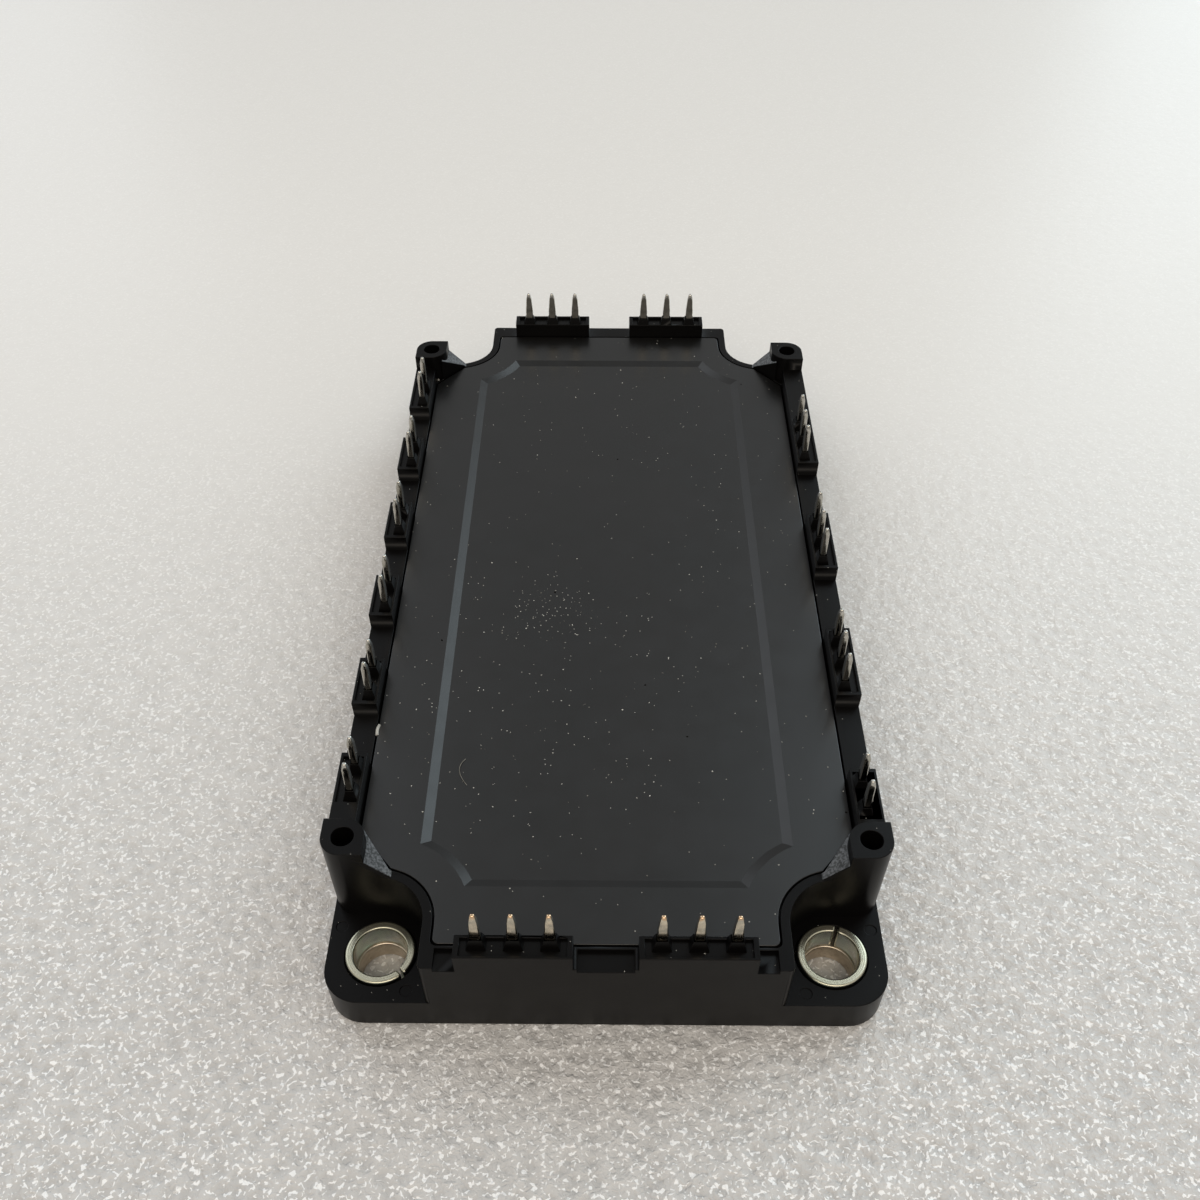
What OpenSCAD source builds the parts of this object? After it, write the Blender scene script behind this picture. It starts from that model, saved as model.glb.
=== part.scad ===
// Three-phase IGBT power module: moulded case on a metal base plate, with solder pins.
// Origin at the centre of the base plate's underside, X across, Y along, Z up.

/* [Package] */
// Length over the flange, along Y
overall_l = 122; // [121:0.5:126]
// Width over the flange, along X
overall_w = 62; // [62:0.5:66]
// Height of the case rim and the lid above the mounting face
rim_z = 12.8; // [12:0.1:13.6]
// Height of the tops of the pin blocks
block_z = 15; // [14.4:0.1:15.6]
// Height of the screw posts that carry a circuit board
post_z = 17; // [16.5:0.1:18]
// Height of the pin tips
pin_tip_z = 20.2; // [20:0.1:23]

/* [Base plate and flange] */
// Thickness of the metal base plate
base_t = 2.5; // [2:0.1:3]
// Corner radius of the flange
flange_r = 4.3; // [3:0.1:5]
// Height of the top of the flange and its lugs
lug_z = 5.2; // [4.8:0.1:5.4]
// Width of the plastic skirt round the base plate
skirt_w = 1.3; // [1:0.1:1.6]
// Height by which the base plate stands below the skirt
base_proud = 0.4; // [0.2:0.1:0.6]
// Gap between the base plate's edge and the skirt
plate_gap = 0.1; // [0.05:0.05:0.2]

/* [Mounting holes] */
// Distance from a side of the flange to the mounting holes
hole_inset_x = 6; // [5.8:0.1:6.4]
// Distance from an end of the flange to the mounting holes
hole_inset_y = 6; // [5.8:0.1:6.4]
// Diameter of the holes in the base plate
base_hole_d = 5.5; // [5:0.1:5.6]
// Inside diameter of the rolled bushes
bush_inner_d = 5.9; // [5.7:0.1:6.1]
// Wall of the rolled bushes
bush_t = 0.95; // [0.8:0.05:1.1]
// Width of the open seam of each bush
bush_seam = 0.3; // [0.2:0.1:0.6]
// Height by which a bush stands above its lug
bush_proud = 0.45; // [0.2:0.05:0.6]
// Gap between a bush and the bore of its lug
bush_fit = 0.15; // [0.1:0.05:0.2]
// Radius of the round cove in the case beside each lug
cove_r = 5.5; // [5.2:0.1:5.8]

/* [Screw posts] */
// Distance from a side of the flange to the post holes
post_inset_x = 2.5; // [2.5:0.1:2.8]
// Distance from an end of the flange to the post holes
post_inset_y = 13.5; // [13:0.1:14]
// Outside radius of a post
post_r = 2.4; // [2.2:0.1:2.6]
// Diameter of the screw hole in a post
post_hole_d = 2.5; // [2.2:0.1:2.8]
// Depth of the screw hole in a post
post_hole_depth = 8; // [6:0.5:10]

/* [Lid] */
// Thickness of the lid
lid_t = 1.6; // [1.2:0.1:2]
// Gap round the lid
lid_gap = 0.2; // [0.1:0.05:0.3]
// Width of the case rim along the long sides
side_rim = 3.05; // [2.9:0.05:3.3]
// Width of the case rim at the short ends
end_rim = 2.75; // [2.6:0.05:3]
// Width of the case rim round the coves
cove_rim = 1.05; // [0.9:0.05:1.2]
// Width of the ledge that the lid rests on
lid_seat_w = 1.2; // [0.8:0.1:1.4]
// How far before the mounting holes the lid's corner cut leaves its long side
corner_cut = 11; // [10.5:0.5:11.5]
// Width of the lid's flat margin beside the recessed panel
panel_margin_x = 6.9; // [5.5:0.1:8]
// Width of the lid's flat margin before each end of the recessed panel
panel_margin_y = 7.05; // [6.05:0.1:9]
// Radius of the panel's cut-in corners, about the mounting holes
panel_corner_r = 10.4; // [9.5:0.1:11]
// Width of the panel's sloped border
panel_slope_w = 1.1; // [0.6:0.1:1.6]
// Depth of the recessed panel
panel_depth = 0.4; // [0.2:0.1:0.8]

/* [Pins] */
// Grid pitch of the pins
pin_pitch = 3.81; // [3.8:0.01:3.82]
// Distance from a side of the flange to the long rows of pins
pin_inset_x = 2.1; // [2:0.05:2.2]
// Distance from an end of the flange to the end rows of pins
pin_inset_y = 1.945; // [1.845:0.05:2.045]
// Distance from a post hole to the middle of the nearest pair of pins
first_pair_gap = 9.4; // [9:0.1:10]
// Width of a pin's blade
pin_w = 1.15; // [0.9:0.05:1.3]
// Thickness of a pin's blade
pin_t = 0.8; // [0.6:0.05:0.9]
// Length of the tapered tip of a pin
pin_tip_l = 0.9; // [0.6:0.1:1.2]
// Clearance between a pin and the plastic round it
pin_fit = 0.02; // [0.01:0.01:0.04]
// Height of the shelf that the pins' bond feet lie on
shelf_z = 5.6; // [5:0.1:6]
// Length of a bond foot that shows inside the case
foot_show = 1.2; // [1:0.1:1.6]
// Inside radius of the bend in a pin
bend_r = 0.4; // [0.3:0.1:0.6]

/* [Pin blocks] */
// Length of plastic beyond the outer pins of a block
block_end = 1.95; // [1.7:0.05:2.2]
// Length of plastic beyond the outer pins of an end block
end_block_end = 2.34; // [2:0.05:2.6]
// Width of the raised border on a block
block_border = 0.35; // [0.25:0.05:0.45]
// Depth of the shallow pan inside that border
block_pan = 0.4; // [0.1:0.05:0.5]
// Height of the moulded collar round each pin
collar_h = 1.4; // [1:0.1:1.6]
// Flare of a collar at its foot
collar_flare = 0.38; // [0.2:0.02:0.44]

/* [Power circuit] */
// Gap between the substrates and the side walls of the case
ceramic_side_gap = 1.8; // [1:0.1:2.5]
// Gap between two substrates
ceramic_gap = 1.5; // [1:0.1:2]
// Thickness of the ceramic
ceramic_t = 0.6; // [0.4:0.1:0.8]
// Thickness of the copper on each face of the ceramic
copper_t = 0.3; // [0.2:0.1:0.4]
// Bare ceramic left round the copper
copper_inset = 0.6; // [0.4:0.1:1]
// Gap between two copper tracks
track_gap = 1; // [0.8:0.1:1.2]
// Share of the room for chips that the IGBT takes; its diode takes the rest
igbt_share = 0.58; // [0.52:0.01:0.62]
// Thickness of the chips
chip_t = 0.2; // [0.15:0.05:0.3]
// Diameter of the bond wires
wire_d = 0.3; // [0.25:0.05:0.4]
// Height of the top of the silicone gel
gel_z = 9; // [8.6:0.1:9.8]

/* [Hidden] */
$fn = 64;
eps = 0.01;

// Mounting holes and screw posts, one quarter of the pattern
hole_x = overall_w / 2 - hole_inset_x;
hole_y = overall_l / 2 - hole_inset_y;
post_x = overall_w / 2 - post_inset_x;
post_y = overall_l / 2 - post_inset_y;

// Plan of the walls above the flange
body_w = 2 * (post_x + post_r);
shoulder_l = 2 * (post_y + post_r);
neck_w = 2 * (hole_x - cove_r);
end_corner_r = 0.6;

// The centre of each cove lies level with its mounting hole across the flange
cove_y = shoulder_l / 2 + cove_r;

// Lid and the ledge that it rests on
lid_w = body_w - 2 * (side_rim + lid_gap);
lid_l = overall_l - 2 * (end_rim + lid_gap);
lid_seat_z = rim_z - lid_t;
lid_cove_r = cove_r + cove_rim + lid_gap;
lid_neck_w = 2 * (hole_x - lid_cove_r);
lid_corner_r = 0.7;

// The lid's corner cut runs from its long side to the cove
cut_x = hole_x - 1.5;
cut_y = cove_y - 6.4;
corner_cut_y = hole_y - corner_cut;

// Recessed panel
panel_w = lid_w - 2 * panel_margin_x;
panel_l = lid_l - 2 * panel_margin_y;

// Base plate
plate_inset = skirt_w + plate_gap;
plate_r = flange_r - plate_inset;

// Inside of the case below the lid
leg_wall = 2.1;
side_pin_x = overall_w / 2 - pin_inset_x;
end_pin_y = overall_l / 2 - pin_inset_y;
side_cavity_x = side_pin_x - pin_t / 2 - leg_wall;
end_cavity_y = end_pin_y - pin_t / 2 - leg_wall;
shelf_w = foot_show + 0.4;
well_x = side_cavity_x - shelf_w;
well_y = end_cavity_y - shelf_w;
cavity_cove_r = lid_cove_r + lid_seat_w;
well_cove_r = cavity_cove_r + 0.5;

// Pins: distance from the pin's axis to the end of its bond foot
foot_l = pin_t / 2 + leg_wall + foot_show;
blade_neck_l = 3;
blade_end_w = 0.85;

// Pin groups: gate and emitter pairs on the left, phases and thermistor on the right
pair_pitch = 2 * (post_y - first_pair_gap) / 5;
pair_y = [for (i = [0:5]) (i - 2.5) * pair_pitch];
phase_y = [for (i = [0:2]) (1.5 * i - 1.25) * pair_pitch];
thermistor_y = -2.625 * pair_pitch;
end_group_x = neck_w / 4 - 0.225;

// Ramps that join the case rim to the posts
ramp_x = cut_x;

// Pockets in the rim at the front end
rim_pocket_d = 0.6;
rim_pocket_w = end_rim - 0.35;

// Faint round marks of the mould's ejectors, from each mounting hole
mark_r = 0.65;
mark_depth = 0.1;
mark_at = [[-3.3, 4.5], [4.8, -3.4]];

// Stack of the power circuit
ceramic_z = base_t + copper_t;
track_z = ceramic_z + ceramic_t;
chip_z = track_z + copper_t;
chip_top = chip_z + chip_t;
foot_z = shelf_z + pin_t;

// Three substrates in a row, between the round corners of the well
ceramic_w = 2 * (well_x - ceramic_side_gap);
ceramic_row_l = 2 * (cove_y - well_cove_r - 0.45);
ceramic_l = (ceramic_row_l - 2 * ceramic_gap) / 3;
ceramic_pitch = ceramic_l + ceramic_gap;
track_w = ceramic_w - 2 * copper_inset;
track_l = ceramic_l - 2 * copper_inset;

// Control pads of one substrate, one for each of its gate and emitter pins
pad_w = 4;
pad_l = 3;
pad_x = -track_w / 2 + pad_w / 2;
control_pad_y = [for (s = [-0.5, 0.5], k = [-0.5, 0.5]) s * pair_pitch + k * pin_pitch];

// Copper tracks of one substrate, as [low x, high x] columns
minus_w = 5.9;
plus_left = pad_x + pad_w / 2 + 1.4;
switch_w = (track_w / 2 - minus_w - 2 * track_gap - plus_left) / 2;
plus_track = [plus_left, plus_left + switch_w];
phase_track = [plus_track[1] + track_gap, plus_track[1] + track_gap + switch_w];
minus_track = [track_w / 2 - minus_w, track_w / 2];

// Two thin strips carry the lower switch's gate and emitter along the substrate's far edge
strip_w = 0.7;
strip_y = [for (k = [0, 1]) track_l / 2 - strip_w / 2 - k * (strip_w + track_gap / 2)];
plus_top = strip_y[1] - (strip_w + track_gap) / 2;

// Chips of one substrate: [x, y] of the upper and the lower switch
chip_edge = 2.4;
chip_gap = [2.5, 3.5];
chip_room = plus_top + track_l / 2 - 2 * chip_edge - chip_gap[0];
igbt_side = igbt_share * chip_room;
diode_side = chip_room - igbt_side;
igbt_y = track_l / 2 - chip_edge - igbt_side / 2;
igbt_at = [[mean(plus_track), -igbt_y], [mean(phase_track) + 0.5, igbt_y]];
diode_at = [
    [mean(plus_track), -igbt_y + (igbt_side + diode_side) / 2 + chip_gap[0]],
    [mean(phase_track) + 0.5, igbt_y - (igbt_side + diode_side) / 2 - chip_gap[1]]
];

// Temperature sensor, on two pads of its own beside the minus track
sensor_pad_w = 3.6;
sensor_x = track_w / 2 - sensor_pad_w / 2 - 0.2;
sensor_y = thermistor_y + ceramic_pitch;
sensor_w = 1.6;
sensor_t = 0.8;

// Bond wires land this far inside the edge of a track or a pin's foot
land = 0.8;
foot_land_x = side_pin_x - foot_l + foot_show / 2;
foot_land_y = end_pin_y - foot_l + foot_show / 2;

// Direction of the seam of each bush
seam_angle = [-44, 75, 160, -100];

// Names of the three phases, from the front to the back
phases = ["u", "v", "w"];

function mean(pair) = (pair[0] + pair[1]) / 2;

// Centre of a phase's substrate: 0 is u at the front, 2 is w at the back
function circuit_y(phase) = (phase - 1) * ceramic_pitch;

// ---- plan outlines and helpers ----

module four_corners(x, y) {
    for (sx = [-1, 1], sy = [-1, 1]) {
        translate([sx * x, sy * y]) children();
    }
}

module in_each_corner() {
    for (mx = [0, 1], my = [0, 1]) {
        mirror([mx, 0, 0]) mirror([0, my, 0]) children();
    }
}

module rounded_plan(w, l, r) {
    square([w - 2 * r, l], center = true);
    square([w, l - 2 * r], center = true);
    four_corners(w / 2 - r, l / 2 - r) circle(r);
}

module slab(low_z, high_z) {
    translate([0, 0, low_z]) linear_extrude(high_z - low_z) children();
}

// Plan of the case walls above the flange, with a cove beside each lug
module case_plan() {
    difference() {
        union() {
            rounded_plan(body_w, shoulder_l, post_r);
            rounded_plan(neck_w, overall_l, end_corner_r);
            square([2 * hole_x, 2 * cove_y], center = true);
        }
        four_corners(hole_x, cove_y) circle(cove_r);
    }
}

// Plan of the lid, or of the space round it when it is grown
module lid_plan(grow = 0) {
    shift = grow * 0.71;
    side_x = lid_w / 2 + grow;
    difference() {
        union() {
            square([2 * side_x, 2 * cove_y], center = true);
            rounded_plan(lid_neck_w + 2 * grow, lid_l + 2 * grow, lid_corner_r);
        }
        four_corners(hole_x, cove_y) circle(lid_cove_r - grow);
        in_each_corner() polygon([
            [cut_x + shift, cove_y + eps],
            [cut_x + shift, cut_y + shift],
            [side_x + eps, corner_cut_y + shift],
            [side_x + eps, cove_y + eps]
        ]);
    }
}

// Plan of the space inside the case: half sizes, and the radius kept clear of each lug
module cavity_plan(half_x, half_y, cove) {
    neck_x = hole_x - cove;
    difference() {
        square([2 * half_x, 2 * half_y], center = true);
        four_corners(hole_x, cove_y) circle(cove);
        in_each_corner() translate([neck_x, cove_y]) square([half_x, half_y]);
    }
}

// A bar between two profiles: one seen along Y, the other along X
module crossed() {
    intersection() {
        rotate([90, 0, 0]) linear_extrude(2 * overall_l, center = true) children(0);
        rotate([90, 0, 90]) linear_extrude(2 * overall_w, center = true) children(1);
    }
}

module trapezoid(low_half, high_half, low_z, high_z) {
    polygon([[-low_half, low_z], [low_half, low_z], [high_half, high_z], [-high_half, high_z]]);
}

// ---- pins ----

// Side profile of a pin: the blade stands at 0, the bond foot runs towards +X
module pin_profile(grow = 0) {
    half = pin_t / 2 + grow;
    bend_x = pin_t / 2 + bend_r;
    bend_z = foot_z + bend_r;
    difference() {
        union() {
            translate([-half, bend_z]) square([2 * half, pin_tip_z - bend_z]);
            translate([bend_x, shelf_z - grow]) square([foot_l + grow - bend_x, pin_t + 2 * grow]);
            intersection() {
                translate([bend_x, bend_z]) circle(bend_r + pin_t + grow);
                translate([-half, shelf_z - grow]) square([half + bend_x, bend_z - shelf_z + grow]);
            }
        }
        translate([bend_x, bend_z]) circle(bend_r - grow);
    }
}

// Front profile of a pin's blade, which narrows towards its tip
module blade_profile() {
    polygon([
        [-pin_w / 2, shelf_z], [pin_w / 2, shelf_z],
        [pin_w / 2, pin_tip_z - blade_neck_l], [blade_end_w / 2, pin_tip_z - pin_tip_l],
        [blade_end_w / 4, pin_tip_z], [-blade_end_w / 4, pin_tip_z],
        [-blade_end_w / 2, pin_tip_z - pin_tip_l], [-pin_w / 2, pin_tip_z - blade_neck_l]
    ]);
}

// Side profile of the cuts that bevel the tip
module tip_profile() {
    polygon([
        [-foot_l, shelf_z], [foot_l, shelf_z], [foot_l, pin_tip_z - blade_neck_l],
        [pin_t / 2, pin_tip_z - pin_tip_l], [pin_t / 4, pin_tip_z],
        [-pin_t / 4, pin_tip_z], [-pin_t / 2, pin_tip_z - pin_tip_l], [-foot_l, pin_tip_z - blade_neck_l]
    ]);
}

// A pin with its blade on the Z axis and its bond foot along +X
module pin() {
    intersection() {
        rotate([90, 0, 0]) linear_extrude(pin_w, center = true) intersection() {
            pin_profile();
            tip_profile();
        }
        rotate([90, 0, 90]) linear_extrude(3 * foot_l, center = true) blade_profile();
    }
}

// The room for a pin in the plastic
module pin_slot() {
    rotate([90, 0, 0]) linear_extrude(pin_w + 2 * pin_fit, center = true) pin_profile(pin_fit);
}

// Moulded collar round a pin, standing in the pan of its block
module collar() {
    low = block_z - block_pan;
    high = low + collar_h;
    wall = 0.1;
    crossed() {
        trapezoid(pin_t / 2 + wall + collar_flare, pin_t / 2 + wall, low, high);
        trapezoid(pin_w / 2 + wall + collar_flare, pin_w / 2 + wall, low, high);
    }
}

// Places its children at each pin of a row of pins: the foot points into the case
module at_left_pin(y) {
    translate([-side_pin_x, y, 0]) children();
}

module at_right_pin(y) {
    translate([side_pin_x, y, 0]) rotate([0, 0, 180]) children();
}

module at_front_pin(x) {
    translate([x, -end_pin_y, 0]) rotate([0, 0, 90]) children();
}

module at_back_pin(x) {
    translate([x, end_pin_y, 0]) rotate([0, 0, -90]) children();
}

module at_every_pin() {
    for (y = pair_y, k = [-0.5, 0.5]) at_left_pin(y + k * pin_pitch) children();
    for (y = phase_y, k = [-1:1]) at_right_pin(y + k * pin_pitch) children();
    for (k = [-0.5, 0.5]) at_right_pin(thermistor_y + k * pin_pitch) children();
    for (x = [-end_group_x, end_group_x], k = [-1:1]) {
        at_front_pin(x + k * pin_pitch) children();
        at_back_pin(x + k * pin_pitch) children();
    }
}

// ---- case ----

module base_plate() {
    color("#b9a394") difference() {
        slab(0, base_t) rounded_plan(overall_w - 2 * plate_inset, overall_l - 2 * plate_inset, plate_r);
        four_corners(hole_x, hole_y) translate([0, 0, -1]) cylinder(d = base_hole_d, h = base_t + 2);
    }
}

// A block of plastic on the rim of a long side; side is -1 for left and 1 for right
module side_block(side, low_y, high_y, inset = 0, low_z = lug_z, high_z = block_z) {
    outer_x = body_w / 2 - inset;
    inner_x = body_w / 2 - side_rim + inset;
    translate([side > 0 ? inner_x : -outer_x, low_y, low_z]) {
        cube([outer_x - inner_x, high_y - low_y, high_z - low_z]);
    }
}

module end_block(x, end, half_l, inset = 0, low_z = lug_z, high_z = block_z) {
    outer_y = overall_l / 2 - inset;
    inner_y = overall_l / 2 - end_rim + inset;
    translate([x - half_l, end > 0 ? inner_y : -outer_y, low_z]) {
        cube([2 * half_l, outer_y - inner_y, high_z - low_z]);
    }
}

module pin_blocks() {
    pair_half = pin_pitch / 2 + block_end;
    phase_half = pin_pitch + block_end;
    for (i = [0:5]) {
        side_block(-1, i == 0 ? -post_y : pair_y[i] - pair_half, i == 5 ? post_y : pair_y[i] + pair_half);
    }
    for (i = [0:2]) side_block(1, phase_y[i] - phase_half, i == 2 ? post_y : phase_y[i] + phase_half);
    side_block(1, -post_y, thermistor_y + pair_half);
    for (x = [-end_group_x, end_group_x], end = [-1, 1]) end_block(x, end, pin_pitch + end_block_end);
}

// The shallow pans in the blocks' tops, round each group of pins
module block_pans() {
    end_margin = 0.6;
    low = block_z - block_pan;
    high = block_z + 1;
    pair_half = pin_pitch / 2 + block_end - end_margin;
    phase_half = pin_pitch + block_end - end_margin;
    for (y = pair_y) side_block(-1, y - pair_half, y + pair_half, block_border, low, high);
    for (y = phase_y) side_block(1, y - phase_half, y + phase_half, block_border, low, high);
    side_block(1, thermistor_y - pair_half, thermistor_y + pair_half, block_border, low, high);
    for (x = [-end_group_x, end_group_x], end = [-1, 1]) {
        end_block(x, end, pin_pitch + end_block_end - end_margin, block_border, low, high);
    }
}

// The lowered ledges of the front rim, beside and between its blocks
module rim_pockets() {
    block_edge = end_group_x - pin_pitch - end_block_end;
    block_far = end_group_x + pin_pitch + end_block_end;
    outer_x = neck_w / 2 - 1.6;
    for (side = [0, 1]) mirror([side, 0, 0]) translate([0, -overall_l / 2 - 1, rim_z - rim_pocket_d]) {
        translate([-eps, 0, 0]) cube([block_edge - 0.4 + eps, rim_pocket_w + 1, 1]);
        translate([block_far, 0, 0]) cube([outer_x - block_far, rim_pocket_w + 1, 1]);
    }
}

// A screw post: round on two corners, square towards the lug and towards the pin block
module post_plan() {
    circle(post_r);
    translate([-post_r, 0]) square(post_r);
    translate([0, -post_r]) square(post_r);
}

// The web that slopes up from the rim to a post, beside the lid's corner
module ramp() {
    end_x = post_x - 0.7 * post_r;
    intersection() {
        slab(lug_z, post_z) difference() {
            translate([ramp_x, corner_cut_y]) square([end_x - ramp_x, shoulder_l / 2 - corner_cut_y]);
            lid_plan(lid_gap);
        }
        rotate([90, 0, 0]) linear_extrude(2 * overall_l, center = true) polygon([
            [ramp_x, lug_z], [end_x, lug_z], [end_x, rim_z + end_x - ramp_x], [ramp_x, rim_z]
        ]);
    }
}

module case_block() {
    slab(base_proud, lug_z) rounded_plan(overall_w, overall_l, flange_r);
    slab(lug_z, rim_z) case_plan();
    pin_blocks();
    in_each_corner() {
        translate([post_x, post_y]) slab(lug_z, post_z) post_plan();
        ramp();
    }
}

// Everything that is hollowed out of the case from below, from inside and from above
module case_hollows() {
    slab(-1, base_t) rounded_plan(overall_w - 2 * skirt_w, overall_l - 2 * skirt_w, flange_r - skirt_w);
    slab(base_t - 1, shelf_z) cavity_plan(well_x, well_y, well_cove_r);
    slab(shelf_z, lid_seat_z) cavity_plan(side_cavity_x, end_cavity_y, cavity_cove_r);
    slab(lid_seat_z, rim_z + 1) lid_plan(lid_gap);
    four_corners(hole_x, hole_y) cylinder(d = bush_inner_d + 2 * (bush_t + bush_fit), h = lug_z + 1);
    four_corners(post_x, post_y) translate([0, 0, post_z - post_hole_depth]) {
        cylinder(d = post_hole_d, h = post_hole_depth + 1);
    }
    rim_pockets();
    ejector_marks();
    block_pans();
}

module ejector_marks() {
    in_each_corner() translate([hole_x, hole_y, lug_z - mark_depth]) {
        for (at = mark_at) translate([at.x, at.y, 0]) cylinder(r = mark_r, h = 1);
    }
}

module housing_frame() {
    color("#2c2b2b") difference() {
        union() {
            difference() {
                case_block();
                case_hollows();
            }
            at_every_pin() collar();
        }
        at_every_pin() pin_slot();
    }
}

// The recessed panel: sloped sides, and corners cut in round the lugs
module lid_panel() {
    low = rim_z - panel_depth;
    high = rim_z + 0.1;
    spread = panel_slope_w * (high - low) / panel_depth;
    low_x = panel_w / 2 - panel_slope_w;
    low_y = panel_l / 2 - panel_slope_w;
    difference() {
        crossed() {
            trapezoid(low_x, low_x + spread, low, high);
            trapezoid(low_y, low_y + spread, low, high);
        }
        four_corners(hole_x, hole_y) translate([0, 0, low - eps]) {
            cylinder(
                r1 = panel_corner_r + panel_slope_w * (1 + eps / panel_depth),
                r2 = panel_corner_r + panel_slope_w - spread - panel_slope_w * eps / panel_depth,
                h = high - low + 2 * eps
            );
        }
    }
}

module lid() {
    color("#343536") difference() {
        slab(lid_seat_z, rim_z) lid_plan();
        lid_panel();
    }
}

// A rolled bush with its open seam turned by an angle from +X
module sleeve(x, y, seam) {
    bush_r = bush_inner_d / 2 + bush_t;
    color("#c9c7bd") translate([x, y, base_t]) difference() {
        cylinder(r = bush_r, h = lug_z + bush_proud - base_t);
        translate([0, 0, -1]) cylinder(d = bush_inner_d, h = lug_z + 2);
        rotate([0, 0, seam]) translate([0, -bush_seam / 2, -1]) cube([bush_r + 1, bush_seam, lug_z + 2]);
    }
}

// ---- power circuit ----

module on_substrate(phase, low_z, high_z) {
    translate([0, circuit_y(phase), 0]) slab(low_z, high_z) children();
}

module ceramic(phase) {
    color("#e9e6de") on_substrate(phase, ceramic_z, track_z) {
        square([ceramic_w, ceramic_l], center = true);
    }
}

module copper_backing(phase) {
    color("#b87346") on_substrate(phase, base_t, ceramic_z) square([track_w, track_l], center = true);
}

module track(x_range, low_y, high_y) {
    translate([x_range[0], low_y]) square([x_range[1] - x_range[0], high_y - low_y]);
}

module copper_tracks(phase) {
    half_l = track_l / 2;
    sensor_room = pin_pitch + pad_l + 1;
    color("#b87346") on_substrate(phase, track_z, chip_z) {
        track(plus_track, -half_l, plus_top);
        track(phase_track, -half_l, half_l);
        difference() {
            track(minus_track, -half_l, half_l);
            if (phase == 0) {
                translate([sensor_x - sensor_pad_w / 2 - 0.7, sensor_y - sensor_room / 2]) {
                    square([pad_w + 3, sensor_room]);
                }
            }
        }
        for (y = strip_y) track([-track_w / 2, plus_track[1]], y - strip_w / 2, y + strip_w / 2);
        for (y = control_pad_y) translate([pad_x, y]) square([pad_w, pad_l], center = true);
        if (phase == 0) {
            for (k = [-0.5, 0.5]) translate([sensor_x, sensor_y + k * pin_pitch]) {
                square([sensor_pad_w, pad_l], center = true);
            }
        }
    }
}

module igbt_chips(phase) {
    color("#8f9aa5") on_substrate(phase, chip_z, chip_z + chip_t) {
        for (at = igbt_at) translate(at) square(igbt_side, center = true);
    }
}

module diode_chips(phase) {
    color("#a8adb2") on_substrate(phase, chip_z, chip_z + chip_t) {
        for (at = diode_at) translate(at) square(diode_side, center = true);
    }
}

module thermistor() {
    color("#6a4a3a") translate([sensor_x, thermistor_y, chip_z]) {
        translate([-sensor_w / 2, -sensor_w, 0]) cube([sensor_w, 2 * sensor_w, sensor_t]);
    }
}

// A bond wire: a round arc between two points, trimmed flat where it lands
module wire(start, end, rise) {
    run = norm([end[0] - start[0], end[1] - start[1]]);
    climb = end[2] - start[2];
    chord = norm([run, climb]);
    loop_r = (chord * chord / 4 + rise * rise) / (2 * rise);
    drop = loop_r - rise;
    step_x = 0.8 * run;
    high = climb + 2 * rise + 2;
    translate(start) rotate([0, 0, atan2(end[1] - start[1], end[0] - start[0])]) intersection() {
        translate([(run + climb / chord * 2 * drop) / 2, 0, (climb - run / chord * 2 * drop) / 2]) {
            rotate([90, 0, 0]) rotate_extrude() translate([loop_r, 0]) circle(d = wire_d, $fn = 16);
        }
        rotate([90, 0, 0]) linear_extrude(2 * wire_d, center = true) polygon([
            [-1, 0], [step_x, 0], [step_x, climb], [run + 1, climb], [run + 1, high], [-1, high]
        ]);
    }
}

// Emitter and anode wires: three from each chip to the next track
module power_wires(phase) {
    y0 = circuit_y(phase);
    land_x = [phase_track[0] + land, minus_track[0] + land];
    for (switch = [0, 1], k = [-1:1]) {
        igbt = igbt_at[switch];
        diode = diode_at[switch];
        igbt_wire_y = y0 + igbt[1] + k * igbt_side / 4;
        diode_wire_y = y0 + diode[1] + k * diode_side / 4;
        wire([igbt[0] + 2, igbt_wire_y, chip_top], [land_x[switch], igbt_wire_y, chip_z], 1.9);
        wire([diode[0] + 1.5, diode_wire_y, chip_top], [land_x[switch], diode_wire_y, chip_z], 1.9);
    }
}

// Wires that join the phase track to the feet of its three pins
module phase_wires(phase) {
    y0 = circuit_y(phase);
    for (k = [-1:1]) {
        start_y = igbt_at[1][1] - igbt_side / 2 - chip_gap[1] / 2 + 1.25 * k;
        end = [foot_land_x, phase_y[phase] + k * pin_pitch, foot_z];
        wire([phase_track[1] - land, y0 + start_y, chip_z], end, 1.9);
    }
}

// Gate and emitter sense wires of the two switches of a substrate
module control_wires(phase) {
    y0 = circuit_y(phase);
    for (i = [0:3]) {
        pin_y = pair_y[2 * phase + floor(i / 2)] + (i % 2 - 0.5) * pin_pitch;
        wire([pad_x - land, y0 + control_pad_y[i], chip_z], [-foot_land_x, pin_y, foot_z], 1.5);
    }
    upper_left = igbt_at[0][0] - igbt_side / 2;
    for (i = [0, 1]) {
        y = y0 + control_pad_y[i];
        wire([pad_x + 1.2, y, chip_z], [upper_left + land, y, chip_top], 1.2);
    }
    lower = igbt_at[1] + [land - igbt_side / 2, igbt_side / 2];
    for (i = [0, 1]) {
        strip = y0 + strip_y[1 - i];
        pad = [pad_x + i + 0.4, y0 + control_pad_y[3 - i], chip_z];
        wire(pad, [pad[0], strip, chip_z], 1);
        chip_land = [lower[0], y0 + lower[1] - 1.7 + 1.2 * i, chip_top];
        wire([plus_track[1] - land, strip, chip_z], chip_land, 1.2);
    }
}

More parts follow.
